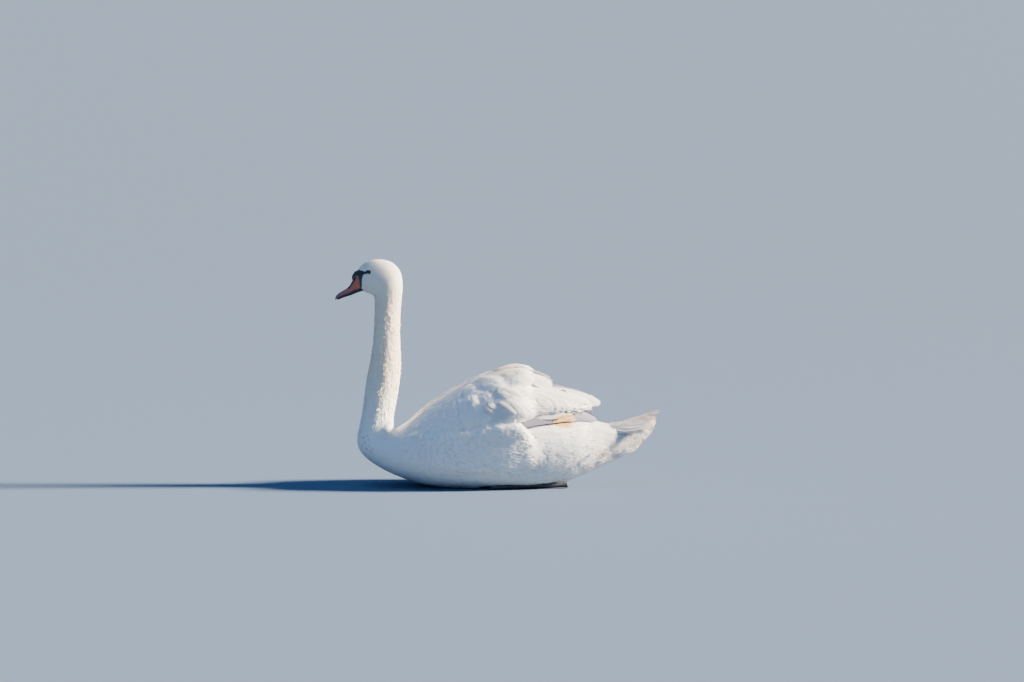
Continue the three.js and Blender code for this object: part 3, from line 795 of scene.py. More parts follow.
# ---------------------------------------------------------------- materials
class Look:
    """A material, with short calls to make its nodes. Underscores stand for the spaces in an input's name."""

    def __init__(self, name):
        self.material = bpy.data.materials.new(name)
        self.material.use_nodes = True
        self.nodes, self.links = self.material.node_tree.nodes, self.material.node_tree.links

    def put(self, value, socket):
        """Gives an input a number, a colour or what comes out of another node."""
        if isinstance(value, (int, float)):
            socket.default_value = value
        elif isinstance(value, tuple):
            socket.default_value = (*value, 1)
        else:
            self.links.new(value, socket)

    def fill(self, node, **inputs):
        for name, value in inputs.items():
            self.put(value, node.inputs[name.replace("_", " ")])
        return node

    def node(self, kind, **inputs):
        return self.fill(self.nodes.new("ShaderNode" + kind), **inputs)

    def surface(self, **inputs):
        self.fill(self.nodes["Principled BSDF"], **inputs)

    def math(self, operation, *values):
        node = self.node("Math")
        node.operation = operation
        for value, socket in zip(values, node.inputs):
            self.put(value, socket)
        return node.outputs[0]

    def mix(self, factor, first, second):
        node = self.node("Mix")
        node.data_type = "RGBA"
        for value, k in ((factor, 0), (first, 6), (second, 7)):
            self.put(value, node.inputs[k])
        return node.outputs[2]

    def attribute(self, name, output="Fac"):
        node = self.node("Attribute")
        node.attribute_name = name
        return node.outputs[output]

    def parts_of(self, name):
        """The three channels of a colour attribute."""
        return self.node("SeparateColor", Color=self.attribute(name, "Color")).outputs

    def place(self):
        return self.node("TexCoord").outputs["Object"]

    def noise(self, scale, detail=2.0, rough=0.5):
        node = self.node("TexNoise", Vector=self.place(), Scale=scale, Detail=detail, Roughness=rough)
        return node.outputs["Fac"]

    def ramp(self, source, low=0.0, high=1.0, first=0.0, last=1.0):
        """From first to last while the source goes from low to high."""
        node = self.node("MapRange", Value=source, From_Min=low, From_Max=high, To_Min=first, To_Max=last)
        return node.outputs["Result"]

    def bump(self, height, strength, distance):
        """Fine relief on the surface, distance metres deep."""
        node = self.node("Bump", Height=height, Strength=strength, Distance=distance)
        self.surface(Normal=node.outputs[0])


WHITE = (0.86, 0.85, 0.83)
WARM_WHITE = (0.88, 0.83, 0.74)
COOL_WHITE = (0.79, 0.80, 0.82)
STAIN = (0.60, 0.41, 0.32)
# grey of the breast marks and of the painted shade on the primaries
GREY_MARK_AND_PAINTED_SHADE = (0.27, 0.25, 0.31)
# cream tint, also the colour of the painted warm sunlight
CREAM_AND_PAINTED_SUN = (0.86, 0.66, 0.40)
PAINTED_SUN_GOLD = (0.60, 0.38, 0.18)  # painted golden sunlight on the patch by the primaries
PAINTED_SUN_FROM = 0.82  # where the cream channel turns to painted golden sunlight
PAINTED_SHADE_VIOLET = (0.19, 0.18, 0.245)  # painted shade: the violet grey of the closed primaries in the shade of the wing
BARB_PITCH = 0.9  # mm between the barbs of a vane


def plumage_colour(look, tone=None):
    """White with soft variation, the markings and the painted sunlight and shade they carry, the same for
    skin and coat.
    """
    brown, grey, cream_and_painted_sun = look.parts_of("mark")
    broad = look.ramp(look.noise(9.0, 3.0), 0.35, 0.7)
    colour = look.mix(broad, WHITE, COOL_WHITE)
    if tone is not None:
        colour = look.mix(look.math("MULTIPLY", tone, 0.55), colour, WARM_WHITE)
    patchy = look.ramp(look.noise(60.0, 4.0), 0.25, 0.62)
    speck = look.ramp(look.noise(150.0, 3.0), 0.25, 0.5)
    # cream tint and painted warm sunlight, from the cream channel
    colour = look.mix(look.math("MULTIPLY", cream_and_painted_sun, 0.75), colour, CREAM_AND_PAINTED_SUN)
    # painted golden sunlight where the cream channel is high
    colour = look.mix(look.ramp(cream_and_painted_sun, PAINTED_SUN_FROM), colour, PAINTED_SUN_GOLD)
    colour = look.mix(look.math("MULTIPLY", brown, patchy), colour, STAIN)
    # grey marks, and painted shade where a blade's grey channel was raised
    return look.mix(look.math("MULTIPLY", grey, speck), colour, GREY_MARK_AND_PAINTED_SHADE)


def barbs(look):
    """Height of the barbs of a vane, slanting out from its quill, from the map of its real size."""
    vane = look.node("UVMap")
    vane.uv_map = "vane"
    aside, along, _ = look.node("SeparateXYZ", Vector=vane.outputs[0]).outputs
    slant = look.math("MULTIPLY", look.math("ABSOLUTE", aside), 1.5)
    along = look.math("SUBTRACT", along, slant)
    return look.math("SINE", look.math("MULTIPLY", along, 6.2832 * 100 / BARB_PITCH))


def feather_material(name, lit_through, painted_shade_share=0.0):
    """White vanes with barbs, made greyer and violet by a share of painted shade. lit_through is the share of
    light that comes through.
    """
    look = Look(name)
    colour = plumage_colour(look, look.attribute("tone"))
    # painted shade of the primaries, then painted golden sunlight over it
    if painted_shade_share:
        colour = look.mix(painted_shade_share, colour, PAINTED_SHADE_VIOLET)
        # painted golden sunlight over the painted shade of the primaries
        colour = look.mix(look.ramp(look.parts_of("mark")[2], PAINTED_SUN_FROM), colour, PAINTED_SUN_GOLD)
    look.surface(Base_Color=colour, Roughness=look.ramp(look.noise(40.0), 0.0, 1.0, 0.62, 0.82))
    look.surface(Specular_IOR_Level=0.3, Sheen_Weight=0.2, Sheen_Roughness=0.45)
    look.bump(barbs(look), 0.3, 0.0004)
    if lit_through:
        through = look.node("BsdfTranslucent", Color=colour)
        mix = look.node("MixShader", Fac=lit_through)
        look.put(look.nodes["Principled BSDF"].outputs[0], mix.inputs[1])
        look.put(through.outputs[0], mix.inputs[2])
        look.put(mix.outputs[0], look.nodes["Material Output"].inputs["Surface"])
    return look.material


coat_material = feather_material("feather", 0)
quill_material = feather_material("long_feather", 0.35)
# the primaries in painted shade, greyer and violet
primary_material = feather_material("primary_feather", 0.05, 0.93)


def skin_material():
    """Plumage, and the bare black skin of the face."""
    look = Look("skin")
    bare_mask = look.attribute("bare")
    dark = look.mix(look.ramp(look.noise(220.0), 0.3, 0.7), (0.012, 0.011, 0.012), (0.03, 0.027, 0.028))
    rough = look.math("SUBTRACT", 0.8, look.math("MULTIPLY", bare_mask, 0.38))
    look.surface(Base_Color=look.mix(bare_mask, plumage_colour(look), dark), Roughness=rough)
    look.bump(look.noise(900.0, 3.0), 0.35, 0.0005)
    return look.material


fleshy = ["trunk", "neck_lower", "neck_middle", "neck_upper", "head", "wing_right", "wing_left"]
finished(skin, skin_material(), "plumage", *fleshy)


# ---------------------------------------------------------------- contour feathers
TUFT_SINK, VANE_SINK = 0.16, 0.14  # how deep in the coat roots lie, as shares of the feather's length
TUFT_SCRUFF, VANE_SCRUFF = 0.10, 0.07  # how unevenly feathers lie
VANE_T = [0, 0.16, 0.42, 0.7, 0.88, 1]
VANE_WIDTH = [0.25, 0.55, 0.9, 1, 0.72, 0]
BUNDLES = 5  # bundles of barbs at a body feather's tip


def along(n, values):
    """The same stations for each of n blades."""
    return np.tile(np.asarray(values, float), (n, 1))


def laid(length, t, lift, sink):
    """Height over the surface along feathers: roots deep in the coat, tips at its top."""
    return -sink * length[:, None] * np.clip(1 - t, 0, 1) ** 1.2 + lift[:, None] * np.clip(t, 0, 1.3) ** 1.6


def tufts(coat, root, face, length, half):
    """Short narrow feathers of the head and neck, each one pointed blade."""
    n = len(root)
    turn = random.normal(0, TUFT_SCRUFF, (n, 3))
    strips = over_surface(root, face, length, half, 2, turn, wrap=False)
    t = along(n, [0, 0.4, 0.8, 1])
    fuzz = np.clip(wave(root, 34, 60, 26, 0.4) - 0.45, 0, 1) * np.clip((length - 6) / 4, 0, 1)
    lift = 0.25 + (0.03 + 0.24 * fuzz) * np.abs(random.normal(0, 1, n)) * length
    width = along(n, [0.4, 1, 0.7, 0]) * (1 + random.normal(0, 0.12, (n, 1)))
    coat.blades(strips, np.arange(n), t, 0 * t, width, laid(length, t, lift, TUFT_SINK), 0.16, 0.25)


def contours(coat, root, face, length, half, steps):
    """Body feathers: a rounded vane, and bundles of barbs that run out past its tip."""
    lift, turn = ruffle(root)
    turn = turn + random.normal(0, VANE_SCRUFF, (len(root), 3))
    strips = over_surface(root, face, length, half, steps, turn)
    keep = strips.smooth() | (root[:, 0] < WING_BACK)
    strips.only(keep)
    root, length, lift = root[keep], length[keep], lift[keep]
    n = len(root)
    lift = 0.35 + 0.3 * lift + np.abs(random.normal(0, 0.012, n)) * length
    every = np.arange(n)
    t = along(n, VANE_T)
    width = along(n, VANE_WIDTH) * (1 + random.normal(0, 0.05, (n, len(VANE_T))))
    tone = random.random(n)
    coat.blades(strips, every, t, 0 * t, width, laid(length, t, lift, VANE_SINK), 0.3, 0.12, tone)
    pick = np.repeat(every, BUNDLES)
    place = np.tile(np.linspace(-0.78, 0.78, BUNDLES), n) + random.normal(0, 0.1, n * BUNDLES)
    start = 0.62 - 0.25 * place**2 + random.normal(0, 0.05, len(pick))
    end = 1.02 - 0.24 * place**2 + np.abs(random.normal(0, 0.07, len(pick)))
    share = np.array([0, 0.35, 0.75, 1])
    t = start[:, None] + (end - start)[:, None] * share
    o = place[:, None] * (0.85 + 0.3 * share)
    width = (0.20 + 0.05 * random.random((len(pick), 1))) * [0.5, 1, 0.7, 0]
    rise = laid(length[pick], t, lift[pick], VANE_SINK) + 0.15 + 0.22 * random.random((len(pick), 1)) * share
    coat.blades(strips, pick, t, o, width, rise, 0.25, 0.2, tone)


def no_feathers(p):
    """Roots that would stand on bare skin or an eye."""
    eye = np.hypot(p[:, 0] - EYE_X, p[:, 2] - EYE_Z) < EYE_CLEAR
    return (bare_depth(p) > 1.4) | (eye & (np.abs(p[:, 1]) > 10))


MORE = 1.0
side_of = np.where(face_centre[:, 1] > 0, 1, -1)
on_body = face_place >= 0
blunt_end = ~on_body & (face_normal[:, 0] > 0.6)  # feathers from here would stand out behind the wing
for i, rows in enumerate(WING_FORMS[1:]):
    blunt_end |= (face_place == -2 - i) & (face_centre[:, 0] > rows[-1, 0] - 0.8 * face_length)
# name, faces, spacing and half width as shares of the feather's length, steps along it or 0 for tufts
COAT_PIECES = [
    ("head", on_body & (face_place > HEAD_FROM), 0.142, 0.125, 0),
    ("neck_high", on_body & (face_place > NECK_HIGH) & (face_place <= HEAD_FROM), 0.148, 0.125, 0),
    ("neck_low", on_body & (face_place > NECK_FROM) & (face_place <= NECK_HIGH), 0.15, 0.13, 0),
    ("breast", on_body & (face_place > BREAST_FROM) & (face_place <= NECK_FROM), 0.2, 0.24, 4),
    ("trunk", on_body & (face_place <= BREAST_FROM), 0.2, 0.28, 4),
    ("flank", face_place == -1, 0.19, 0.27, 4),
    ("wing", face_place < -1, 0.2, 0.27, 6),
]
for side, word in SIDES:
    for name, where, spacing, half, steps in COAT_PIECES:
        faces = np.flatnonzero((side_of == side) & where & ~blunt_end)
        root, face = scatter(faces, spacing * MORE * face_length)
        coat = Coat(f"coat_{name}_{word}")
        if steps:
            length = face_length[face] * (1 + random.normal(0, 0.07, len(root)))
            contours(coat, root, face, length, half * MORE**0.5 * length, steps)
        else:
            length = face_length[face] * (1 + random.normal(0, 0.08, len(root)))
            tufts(coat, root, face, length, half * MORE * length)
        coat.build(coat_material)


# ---------------------------------------------------------------- long feathers
QUILL_T = np.array([
    0, 0.04, 0.12, 0.22, 0.33, 0.44, 0.54, 0.63, 0.71, 0.78, 0.84, 0.89, 0.93, 0.965, 0.985, 1,
])
SHAFT_T, SHAFT_HALF = [0.02, 0.1, 0.4, 0.7, 0.9, 0.97], np.array([1.3, 1.25, 0.95, 0.6, 0.35, 0])
ROOT_DEEP, ROOT_SLIM = 3.0, 0.42  # how deep in the coat a long feather's root lies, and its share of width
RIM_BARBS = 34  # loose barbs at the rim of a fully frayed feather


def quills(coat, strips, lift, blunt=5.0, fray=0.5, thick=0.8, lean=0.0, cup=0.16, painted_shade=0.0):
    """A closed vane, its shaft and loose barbs at its rim for each strip. lean widens one side of it."""
    n = len(strips.half)
    lift = lift + np.zeros(n)
    every = np.arange(n)
    t = along(n, QUILL_T)
    width = ROOT_SLIM + (1 - ROOT_SLIM) * np.minimum(1, 2.4 * t)
    width = width * np.sqrt(np.maximum(1 - 0.98 * t**blunt, 0))
    width = width * (1 + random.normal(0, 0.03 * fray, t.shape))  # an uneven edge
    o = lean * width * np.minimum(1, 4 * (1 - t))
    tone = random.random(n)
    curl = random.normal(0, 0.04, (n, 1)) * strips.half[:, None] * t**3
    rise = lift[:, None] - ROOT_DEEP * (1 - t) ** 4 + curl
    coat.blades(strips, every, t, o, width, rise, thick, cup, tone, closed=True, painted_shade=painted_shade)
    t = along(n, SHAFT_T)
    rise = lift[:, None] - ROOT_DEEP * (1 - t) ** 4 + 0.25
    coat.blades(strips, every, t, 0 * t, SHAFT_HALF / strips.half[:, None], rise, 0.7, tone=tone, cream_and_painted_sun=0.5)
    pick = np.repeat(every, int(RIM_BARBS * fray))
    m = len(pick)
    half, long = strips.half[pick, None], strips.long[pick, None]
    sign = np.where(random.random((m, 1)) < 0.5, -1, 1)
    start = 0.98 - 0.62 * random.random((m, 1)) ** 1.5
    at = np.array([np.interp(s, QUILL_T, w) for s, w in zip(start[:, 0], width[pick])])[:, None]
    share = np.array([0, 0.4, 0.8, 1])
    size = BARB * (0.7 + 0.6 * random.random((m, 1))) * (0.35 + 0.65 * fray)
    size = np.minimum(size, np.maximum((1.0 + 0.05 * fray * random.random((m, 1)) - start) * long, 2.5))
    t = start + size * 0.95 / long * share
    o = sign * (at - 1.2 / half + size * 0.17 * (0.4 + random.random((m, 1))) / half * share)
    loose = 0.65 / half * np.array([1, 0.9, 0.6, 0])
    rise = lift[pick][:, None] - cup * half * o**2 * 0.9 + (0.1 + 0.3 * random.random((m, 1))) * share
    coat.blades(strips, pick, t, o, loose, rise, 0.25, tone=tone)


def through(root, middle, tip, t):
    """A curve through three points, at 0, a half and 1."""
    return root * (1 - t) * (1 - 2 * t) + 4 * middle * t * (1 - t) + tip * t * (2 * t - 1)


def from_points(root, middle, tip, half, face_way):
    """Strips along curves through three points each, facing as given."""
    t = np.linspace(0, BEYOND, 17)[None, :, None]
    spine = through(root[:, None], middle[:, None], tip[:, None], t)
    way = unit(np.gradient(spine, axis=1))
    up = unit(face_way[:, None] - way * dot(way, face_way[:, None])[..., None])
    long = np.linalg.norm(np.diff(spine, axis=1), axis=2).sum(1) / BEYOND
    _, face, _ = project(root)
    return Strips(spine, up, way, half, long, face)


def spread(ends, f):
    """From the first of two points to the second."""
    a, b = np.asarray(ends, float)
    return a + (b - a) * f[:, None]


def wing_row(side, count, roots, middles, tips, half, face_way, jitter):
    """A row of long feathers of one wing, from its first to its last."""
    f = np.linspace(0, 1, count)
    flip = np.array([1, side, 1])
    shake = random.normal(0, jitter, (count, 3))
    stations = ((roots, 0), (middles, 0.35), (tips, 1))
    parts = [(spread(ends, f) + shake * share) * flip for ends, share in stations]
    way = unit(np.array(face_way, float) + random.normal(0, 0.05, (count, 3)))
    return from_points(*parts, half * (1 + random.normal(0, 0.04, count)), way * flip)


def surface_row(side, roots, ways, length, half, count):
    """Strips over the surface in a row from one place to another, heading as given."""
    f = np.linspace(0, 1, count)
    flip = np.array([1, side, 1])
    at, face, _ = project((spread(roots, f) + random.normal(0, 3.0, (count, 3))) * flip)
    turn = spread(ways, f) * flip * 3 - face_lie[face] * 0.99
    length = np.interp(f, [0, 1], length) * (1 + random.normal(0, 0.04, count))
    return over_surface(at, face, length, np.full(count, half), 9, turn, 0.6)


def tertials(side, word):
    coat = Coat(f"tertials_{word}_vanes")
    upper = wing_row(side, 5, ([-10, 60, 293], [-20, 60, 280]), ([92, 50, 303], [78, 56, 290]),
                     ([160, 41, 281], [146, 50, 269]), 18, (0, 0.8, 0.6), 2.0)
    quills(coat, upper, np.linspace(1, 0, 5))
    lower = wing_row(side, 5, ([30, 66, 264], [0, 98, 220]), ([165, 52, 257], [95, 98, 215]),
                     ([290, 25, 226], [192, 80, 205]), 22, (0, 0.88, 0.47), 2.2)
    quills(coat, lower, 0)
    at = leaf_rings(TERTIAL_BED, np.full(1, 0.15), 64, side)[0]
    picks = np.linspace(-9, 27, 9).round().astype(int)  # from the inner side over the top to the outer side
    root, face, _ = project(at[picks])
    length = np.array([235, 246, 252, 250, 240, 226, 208, 186, 160.0])
    turn = np.array([1.5, 0, 0]) + np.linspace(0.05, -0.05, 9)[:, None] * [0, 0, 1]
    bed = over_surface(root, face, length, np.full(9, 19.0), 18, turn, 0.8)
    quills(coat, bed, np.linspace(2.6, 0.6, 9))
    coat.build(quill_material, f"tertials_{word}")


def primaries(side, word):
    coat = Coat(f"primaries_{word}_vanes")
    row = wing_row(side, 8, ([50, 112, 182], [40, 120, 170]), ([168, 78, 213], [132, 98, 197]),
                   ([283, 19, 181], [205, 71, 190]), 15, (0, 0.97, 0.22), 1.2)
    # a floor of grey on the primaries is painted shade
    quills(coat, row, np.linspace(0.6, 0, 8), lean=0.2 * side, fray=0.25, painted_shade=0.2)
    coat.build(primary_material, f"primaries_{word}")


def coverts(side, word):
    coat = Coat(f"coverts_{word}")
    for roots, ways, length, half, count in (
        (([96, 80, 262], [172, 68, 250]), ([0.45, 0.1, -0.9], [0.6, 0.1, -0.8]), (46, 40), 8.5, 11),
        (([-34, 118, 236], [64, 110, 232]), ([0.75, 0, -0.65], [0.8, 0, -0.6]), (62, 58), 14, 9),
        (([-20, 90, 268], [84, 78, 262]), ([0.95, 0, -0.3], [0.95, 0, -0.25]), (66, 66), 15, 8),
        (([-60, 60, 296], [66, 50, 318]), ([1, 0, -0.1], [1, 0, -0.35]), (62, 58), 15, 9),
    ):
        quills(coat, surface_row(side, roots, ways, length, half, count), 2.2, fray=0.6, thick=0.6)
    coat.build(quill_material)


for side, word in SIDES:
    tertials(side, word)
    primaries(side, word)
    coverts(side, word)


def fan(a, f):
    """A point of the tail fan: a runs from -1 to 1 across it, f from 0 at the root to 1 at the tip."""
    root = np.stack([286 + 0 * a, 20 * a, 154 - 4 * a**2], 1)
    middle = np.stack([366 + 0 * a, 50 * a, 179 - 18 * a**2], 1)
    tip = np.stack([451 - 24 * a**2, 68 * a, 204 - 46 * a**2], 1)
    return through(root, middle, tip, np.reshape(f, (-1, 1)))


def fan_row(coat, count, reach, start, length, half, above, jitter, fray):
    """Feathers along the tail fan: its own, or the coverts over and under its root."""
    a = np.linspace(-reach, reach, count)
    shake = random.normal(0, jitter, (3, count))
    end = start + length - 0.045 * np.abs(shake[0]) * (np.abs(a) > 0.08)
    facing = unit(np.stack([0 * a - 0.3, 0.7 * a, 1 + 0 * a], 1)) * np.sign(above + 0.1)
    places = []
    for f, share in ((start, 0), ((start + end) / 2, 0.4), (end, 1)):
        droop = [0, 1, 0] * (shake[1] * share)[:, None] + [0, 0, 1] * (shake[2] * share)[:, None]
        places.append(fan(a, f) + facing * abs(above) + droop)
    strips = from_points(*places, half * (1 - 0.2 * np.abs(a)), facing)
    quills(coat, strips, 0, blunt=4.2, fray=fray, cup=0.2, thick=0.7)


coat = Coat("tail_vanes")
fan_row(coat, 22, 1, 0, 1, 15, 0, 2.2, 1.4)
coat.build(quill_material, "tail")
coat = Coat("tail_coverts")
for count, reach, start, length, above in (
    (9, 0.75, 0.16, 0.44, 2.0), (9, 0.8, 0.02, 0.44, 4.0), (9, 0.8, -0.14, 0.42, 5.5),
    (11, 1.0, 0.30, 0.42, -3.0), (11, 1.0, 0.12, 0.46, -6.0),
):
    fan_row(coat, count, reach, start, length, 12, above, 1.6, 1.2)
coat.build(quill_material)

# The fluffy cone between the belly and the tail fan: x, lowest, widest and highest z, half width
UNDER_TAIL = np.array([
    [262, 40, 104, 172, 84],
    [300, 59, 109, 168, 74],
    [335, 76, 115, 167, 65],
    [366, 92, 124, 170, 57],
    [390, 109, 138, 176, 51],
    [410, 129, 153, 183, 43],
    [428, 153, 170, 190, 32],
    [441, 180, 187, 195, 19],
], float)


def under_tail(f, around, out, share=1.0):
    """Places on the cone and the way they face. f is 0 at its root and 1 at its tip, around 0 at the bottom
    and 2 at the top, out is how far outside it a place is, and share makes the cone smaller."""
    x, low, middle, top, wide = between(UNDER_TAIL, f * (len(UNDER_TAIL) - 1)).T
    a = around * np.pi / 2
    way = unit(np.stack([0 * a + 0.3, np.sin(a), -np.cos(a)], 1))
    down = np.where(np.cos(a) > 0, middle - low, top - middle)
    at = np.stack([x, share * wide * np.sin(a), middle + 4 * (1 - share) - share * down * np.cos(a)], 1)
    return at + way * np.reshape(out, (-1, 1)), way


def fluff(coat, places, half, facing, fray, blunt=2.8):
    quills(coat, from_points(*places, np.full(len(facing), half), facing), 0, blunt, fray, 0.6, cup=0.25)


coat = Coat("under_tail")
ACROSS, INSIDE = 17, 9  # feathers in a row of the cone, and in a row inside it
for row in range(10):
    reach = 1.6 - 0.06 * row
    a = np.linspace(-reach, reach, ACROSS) + 0.08 * (row % 2 - 0.5) + random.normal(0, 0.025, ACROSS)
    start = 0.04 + 0.075 * row + random.normal(0, 0.012, ACROSS)
    end = start + 0.31 - 0.012 * row + random.normal(0, 0.012 + 0.002 * row, ACROSS)
    stand = 0.5 + (1.2 + 0.4 * row) * np.abs(random.normal(0, 1, ACROSS)) * (np.abs(a) < 1)
    places = [under_tail(f, a, out)[0] for f, out in ((start, -9), ((start + end) / 2, -1), (end, stand))]
    fluff(coat, places, 13.8 - 0.45 * row, under_tail((start + end) / 2, a, 0)[1], 1.15)
for share, tips in ((0.8, 0.89), (0.6, 0.92), (0.4, 0.94), (0.2, 0.96)):
    a = np.linspace(-1.8, 1.8, INSIDE) + random.normal(0, 0.03, INSIDE)
    end = tips + random.normal(0, 0.02, INSIDE)
    places = [under_tail(f, a, 0, share)[0] for f in (end - 0.34, end - 0.17, end)]
    fluff(coat, places, 10.0, under_tail(end, a, 0, share)[1], 0.7)
LOOSE_TIPS = np.array([  # single tips that stand out from the cone
    [436, 14, 158], [433, -10, 151], [420, 22, 140], [408, -16, 126], [404, 8, 114], [384, -20, 106],
    [430, 30, 166], [432, -34, 165], [414, -34, 142], [396, 30, 120], [372, 6, 95],
], float)
down = unit([0.35, 0, -1] + [0, 0.02, 0] * LOOSE_TIPS)
places = [LOOSE_TIPS - [76, 0, 34] - 8 * down, LOOSE_TIPS - [36, 0, 20], LOOSE_TIPS]
fluff(coat, places, 8.5, down, 1.3, 2.2)
for side, _ in SIDES:  # from the belly and the rump onto the cone
    for roots, ways, length in (
        (([256, 80, 132], [262, 12, 173]), ([1, -0.14, 0.10], [1, 0.0, 0.10]), 84),
        (([290, 68, 126], [292, 8, 170]), ([1, -0.14, 0.14], [1, 0.0, 0.14]), 76),
    ):
        strips = surface_row(side, roots, ways, (length, length), 12, 8)
        quills(coat, strips, 1.5 + np.abs(random.normal(0, 1.2, 8)), fray=0.9, thick=0.5, blunt=3.4)
coat.build(quill_material)


# ---------------------------------------------------------------- bill
# top [x, z], bottom [x, z], half width, how low the widest line lies
BILL_UPPER = np.array([
    [-372, 594, -361, 546, 16.4, 8],
    [-375, 592, -364, 545, 16.5, 8],
    [-386, 569, -377, 540, 15.6, 8],
    [-397, 550, -392, 532.5, 14.6, 5],
    [-408, 541, -405, 527.5, 14.8, 3.6],
    [-420, 534, -418, 522, 16, 2.6],
    [-430, 525.5, -429.5, 516.5, 14, 1.8],
    [-433.2, 521.6, -433.0, 513.4, 9.8, 1.0],
    [-434.6, 518.6, -434.6, 511.6, 6.2, 0.4],
    [-435.2, 515.4, -435.4, 511.2, 2.6, 0.1],
], float)
BILL_LOWER = np.array([
    [-361, 545, -358, 537.5, 14.4, 0],
    [-364.5, 544.2, -362.5, 536, 14.5, 0],
    [-377, 539.2, -376, 531.5, 13.6, 0],
    [-392, 531.8, -391.5, 525, 12.8, 0],
    [-408, 526.4, -408, 520, 13, 0],
    [-421, 520.4, -421, 515, 12.6, 0],
    [-427, 517, -427, 512.9, 9.2, 0],
    [-429.2, 515.6, -429.4, 512.9, 5.6, 0],
    [-430.2, 514.6, -430.3, 513.2, 2, 0],
], float)
NOSTRIL = np.array([-396.5, 8.8, 547.0])
NOSTRIL_AXES = np.array([[-0.62, 0, -0.785], [0, 1, 0], [-0.785, 0, 0.62]])  # along, out of and across it
NOSTRIL_LONG, NOSTRIL_HIGH, NOSTRIL_DEEP, NOSTRIL_RIM = 6.6, 2.3, 2.6, 0.5
NAIL_X, NAIL_LONG, NAIL_WIDE, NAIL_HIGH = -431, 9.0, 7.6, 0.9
GROOVE_UP, GROOVE_WIDE, GROOVE_DEEP = 2.4, 0.7, 0.45  # the groove over the cutting edge


def bill_rings(rows, rings, sides, full_top, full_low):
    """One half of the bill, rounder over than under."""
    over = np.cos(turns(sides)) > 0
    rows = between(rows, np.linspace(0, len(rows) - 1, rings))
    return section_rings(rows, sides, np.where(over, full_top, full_low), np.where(over, 0.92, 0.6))


def stripe(p, start, end, half):
    """1 on a stripe between two places in side view, 0 outside, softly between."""
    q, a, b = p[:, [0, 2]], np.array(start, float), np.array(end, float)
    f = np.clip(((q - a) @ (b - a)) / ((b - a) @ (b - a)), 0, 1)
    d = np.linalg.norm(q - a - f[:, None] * (b - a), axis=1)
    return soft(half - d, 1.2)


def edge_line(x):
    """Height of the cutting edge along the bill."""
    return np.interp(-x, [360, 377, 392, 405, 418, 430, 435], [545, 540, 532.5, 527.5, 522, 516, 513])


def bill_black(p):
    """1 on the black parts of the upper bill: base, nostrils, cutting edge and nail."""
    x, z = p[:, 0], p[:, 2]
    return np.max([
        stripe(p, (-381, 572), (-398, 547), 3.4) * (np.abs(p[:, 1]) > 3),
        soft(z - 581 + 0.5 * (x + 377), 1.2),
        soft(edge_line(x) + 1.9 - z, 0.9),
        soft(x + 367.6 + 0.10 * (z - 560), 1.0),
        soft((1 - np.hypot((x - NAIL_X) / 9.5, p[:, 1] / 8.2)) * 9, 1.0),
    ], 0)


bill = tube_object("bill_upper_shell", bill_rings(BILL_UPPER, 76, 64, 1.0, 0.45))
p = points_of(bill.data)
for side, _ in SIDES:  # nostrils, pierced ovals in the black stripe
    d = (p - NOSTRIL * [1, side, 1]) @ NOSTRIL_AXES.T
    oval = np.hypot(d[:, 0] / NOSTRIL_LONG, d[:, 2] / NOSTRIL_HIGH)
    near = (p[:, 1] * side > 3) & (oval < 2.2)
    push = np.clip(1.25 - oval, 0, 1) ** 0.7 * NOSTRIL_DEEP - NOSTRIL_RIM * bell(oval - 1.5, 0.35)
    p[near, 1] -= side * push[near]
nail = np.clip(1 - np.hypot((p[:, 0] - NAIL_X) / NAIL_LONG, p[:, 1] / NAIL_WIDE), 0, 1)
p[:, 2] += NAIL_HIGH * np.clip(nail * 5, 0, 1) * (p[:, 2] > edge_line(p[:, 0]) + 2)
groove = bell(p[:, 2] - edge_line(p[:, 0]) - GROOVE_UP, GROOVE_WIDE)
p[:, 1] -= np.sign(p[:, 1]) * GROOVE_DEEP * groove
settle(bill, p)
paint(bill, "black", bill_black(p))

bill_low = tube_object("bill_lower_shell", bill_rings(BILL_LOWER, 60, 48, 0.5, 0.9))
settle(bill_low)
paint(bill_low, "black", 1)

KNOB, KNOB_RADII, KNOB_LEAN = np.array([-379.5, 0, 579]), np.array([14.5, 8.6, 8]), 1.08
at, u, v = globe(44, 56, 0.03)
at = power(at[..., [2, 1, 0]], 0.94) * (1 + 0.03 * np.sin(7 * u + 1) * np.cos(3 * v))[..., None] * KNOB_RADII
c, s = math.cos(KNOB_LEAN), math.sin(KNOB_LEAN)
knob = tube_object("knob_skin", at @ np.array([[c, 0, s], [0, 1, 0], [-s, 0, c]]) + KNOB)
settle(knob)
paint(knob, "black", 1)


def bill_material():
    """Orange, darker and rosier to the tip as painted shade, and black where the bill is painted so."""
    look = Look("bill")
    along, _, _ = look.node("SeparateXYZ", Vector=look.place()).outputs
    mottle = look.ramp(look.noise(130.0, 4.0), 0.3, 0.7)
    orange = look.mix(mottle, (0.46, 0.110, 0.050), (0.38, 0.085, 0.045))
    # painted shade: darker and rosier towards the tip
    painted_shade_rosy = look.mix(mottle, (0.31, 0.085, 0.090), (0.25, 0.080, 0.105))
    orange = look.mix(look.ramp(along, -0.385, -0.438), orange, painted_shade_rosy)
    dark = look.mix(mottle, (0.014, 0.013, 0.014), (0.032, 0.028, 0.028))
    colour = look.mix(look.attribute("black"), orange, dark)
    look.surface(Base_Color=colour, Roughness=look.ramp(mottle, 0.0, 1.0, 0.34, 0.52))
    look.bump(look.noise(700.0, 4.0, 0.6), 0.3, 0.0003)
    return look.material


horn = bill_material()
finished(bill, horn, "bill", "bill_upper")
finished(bill_low, horn, "bill_black", "bill_lower")
finished(knob, horn, "bill_black", "bill_knob")


# ---------------------------------------------------------------- eyes
IRIS_R, PUPIL_R = 4.9, 2.5


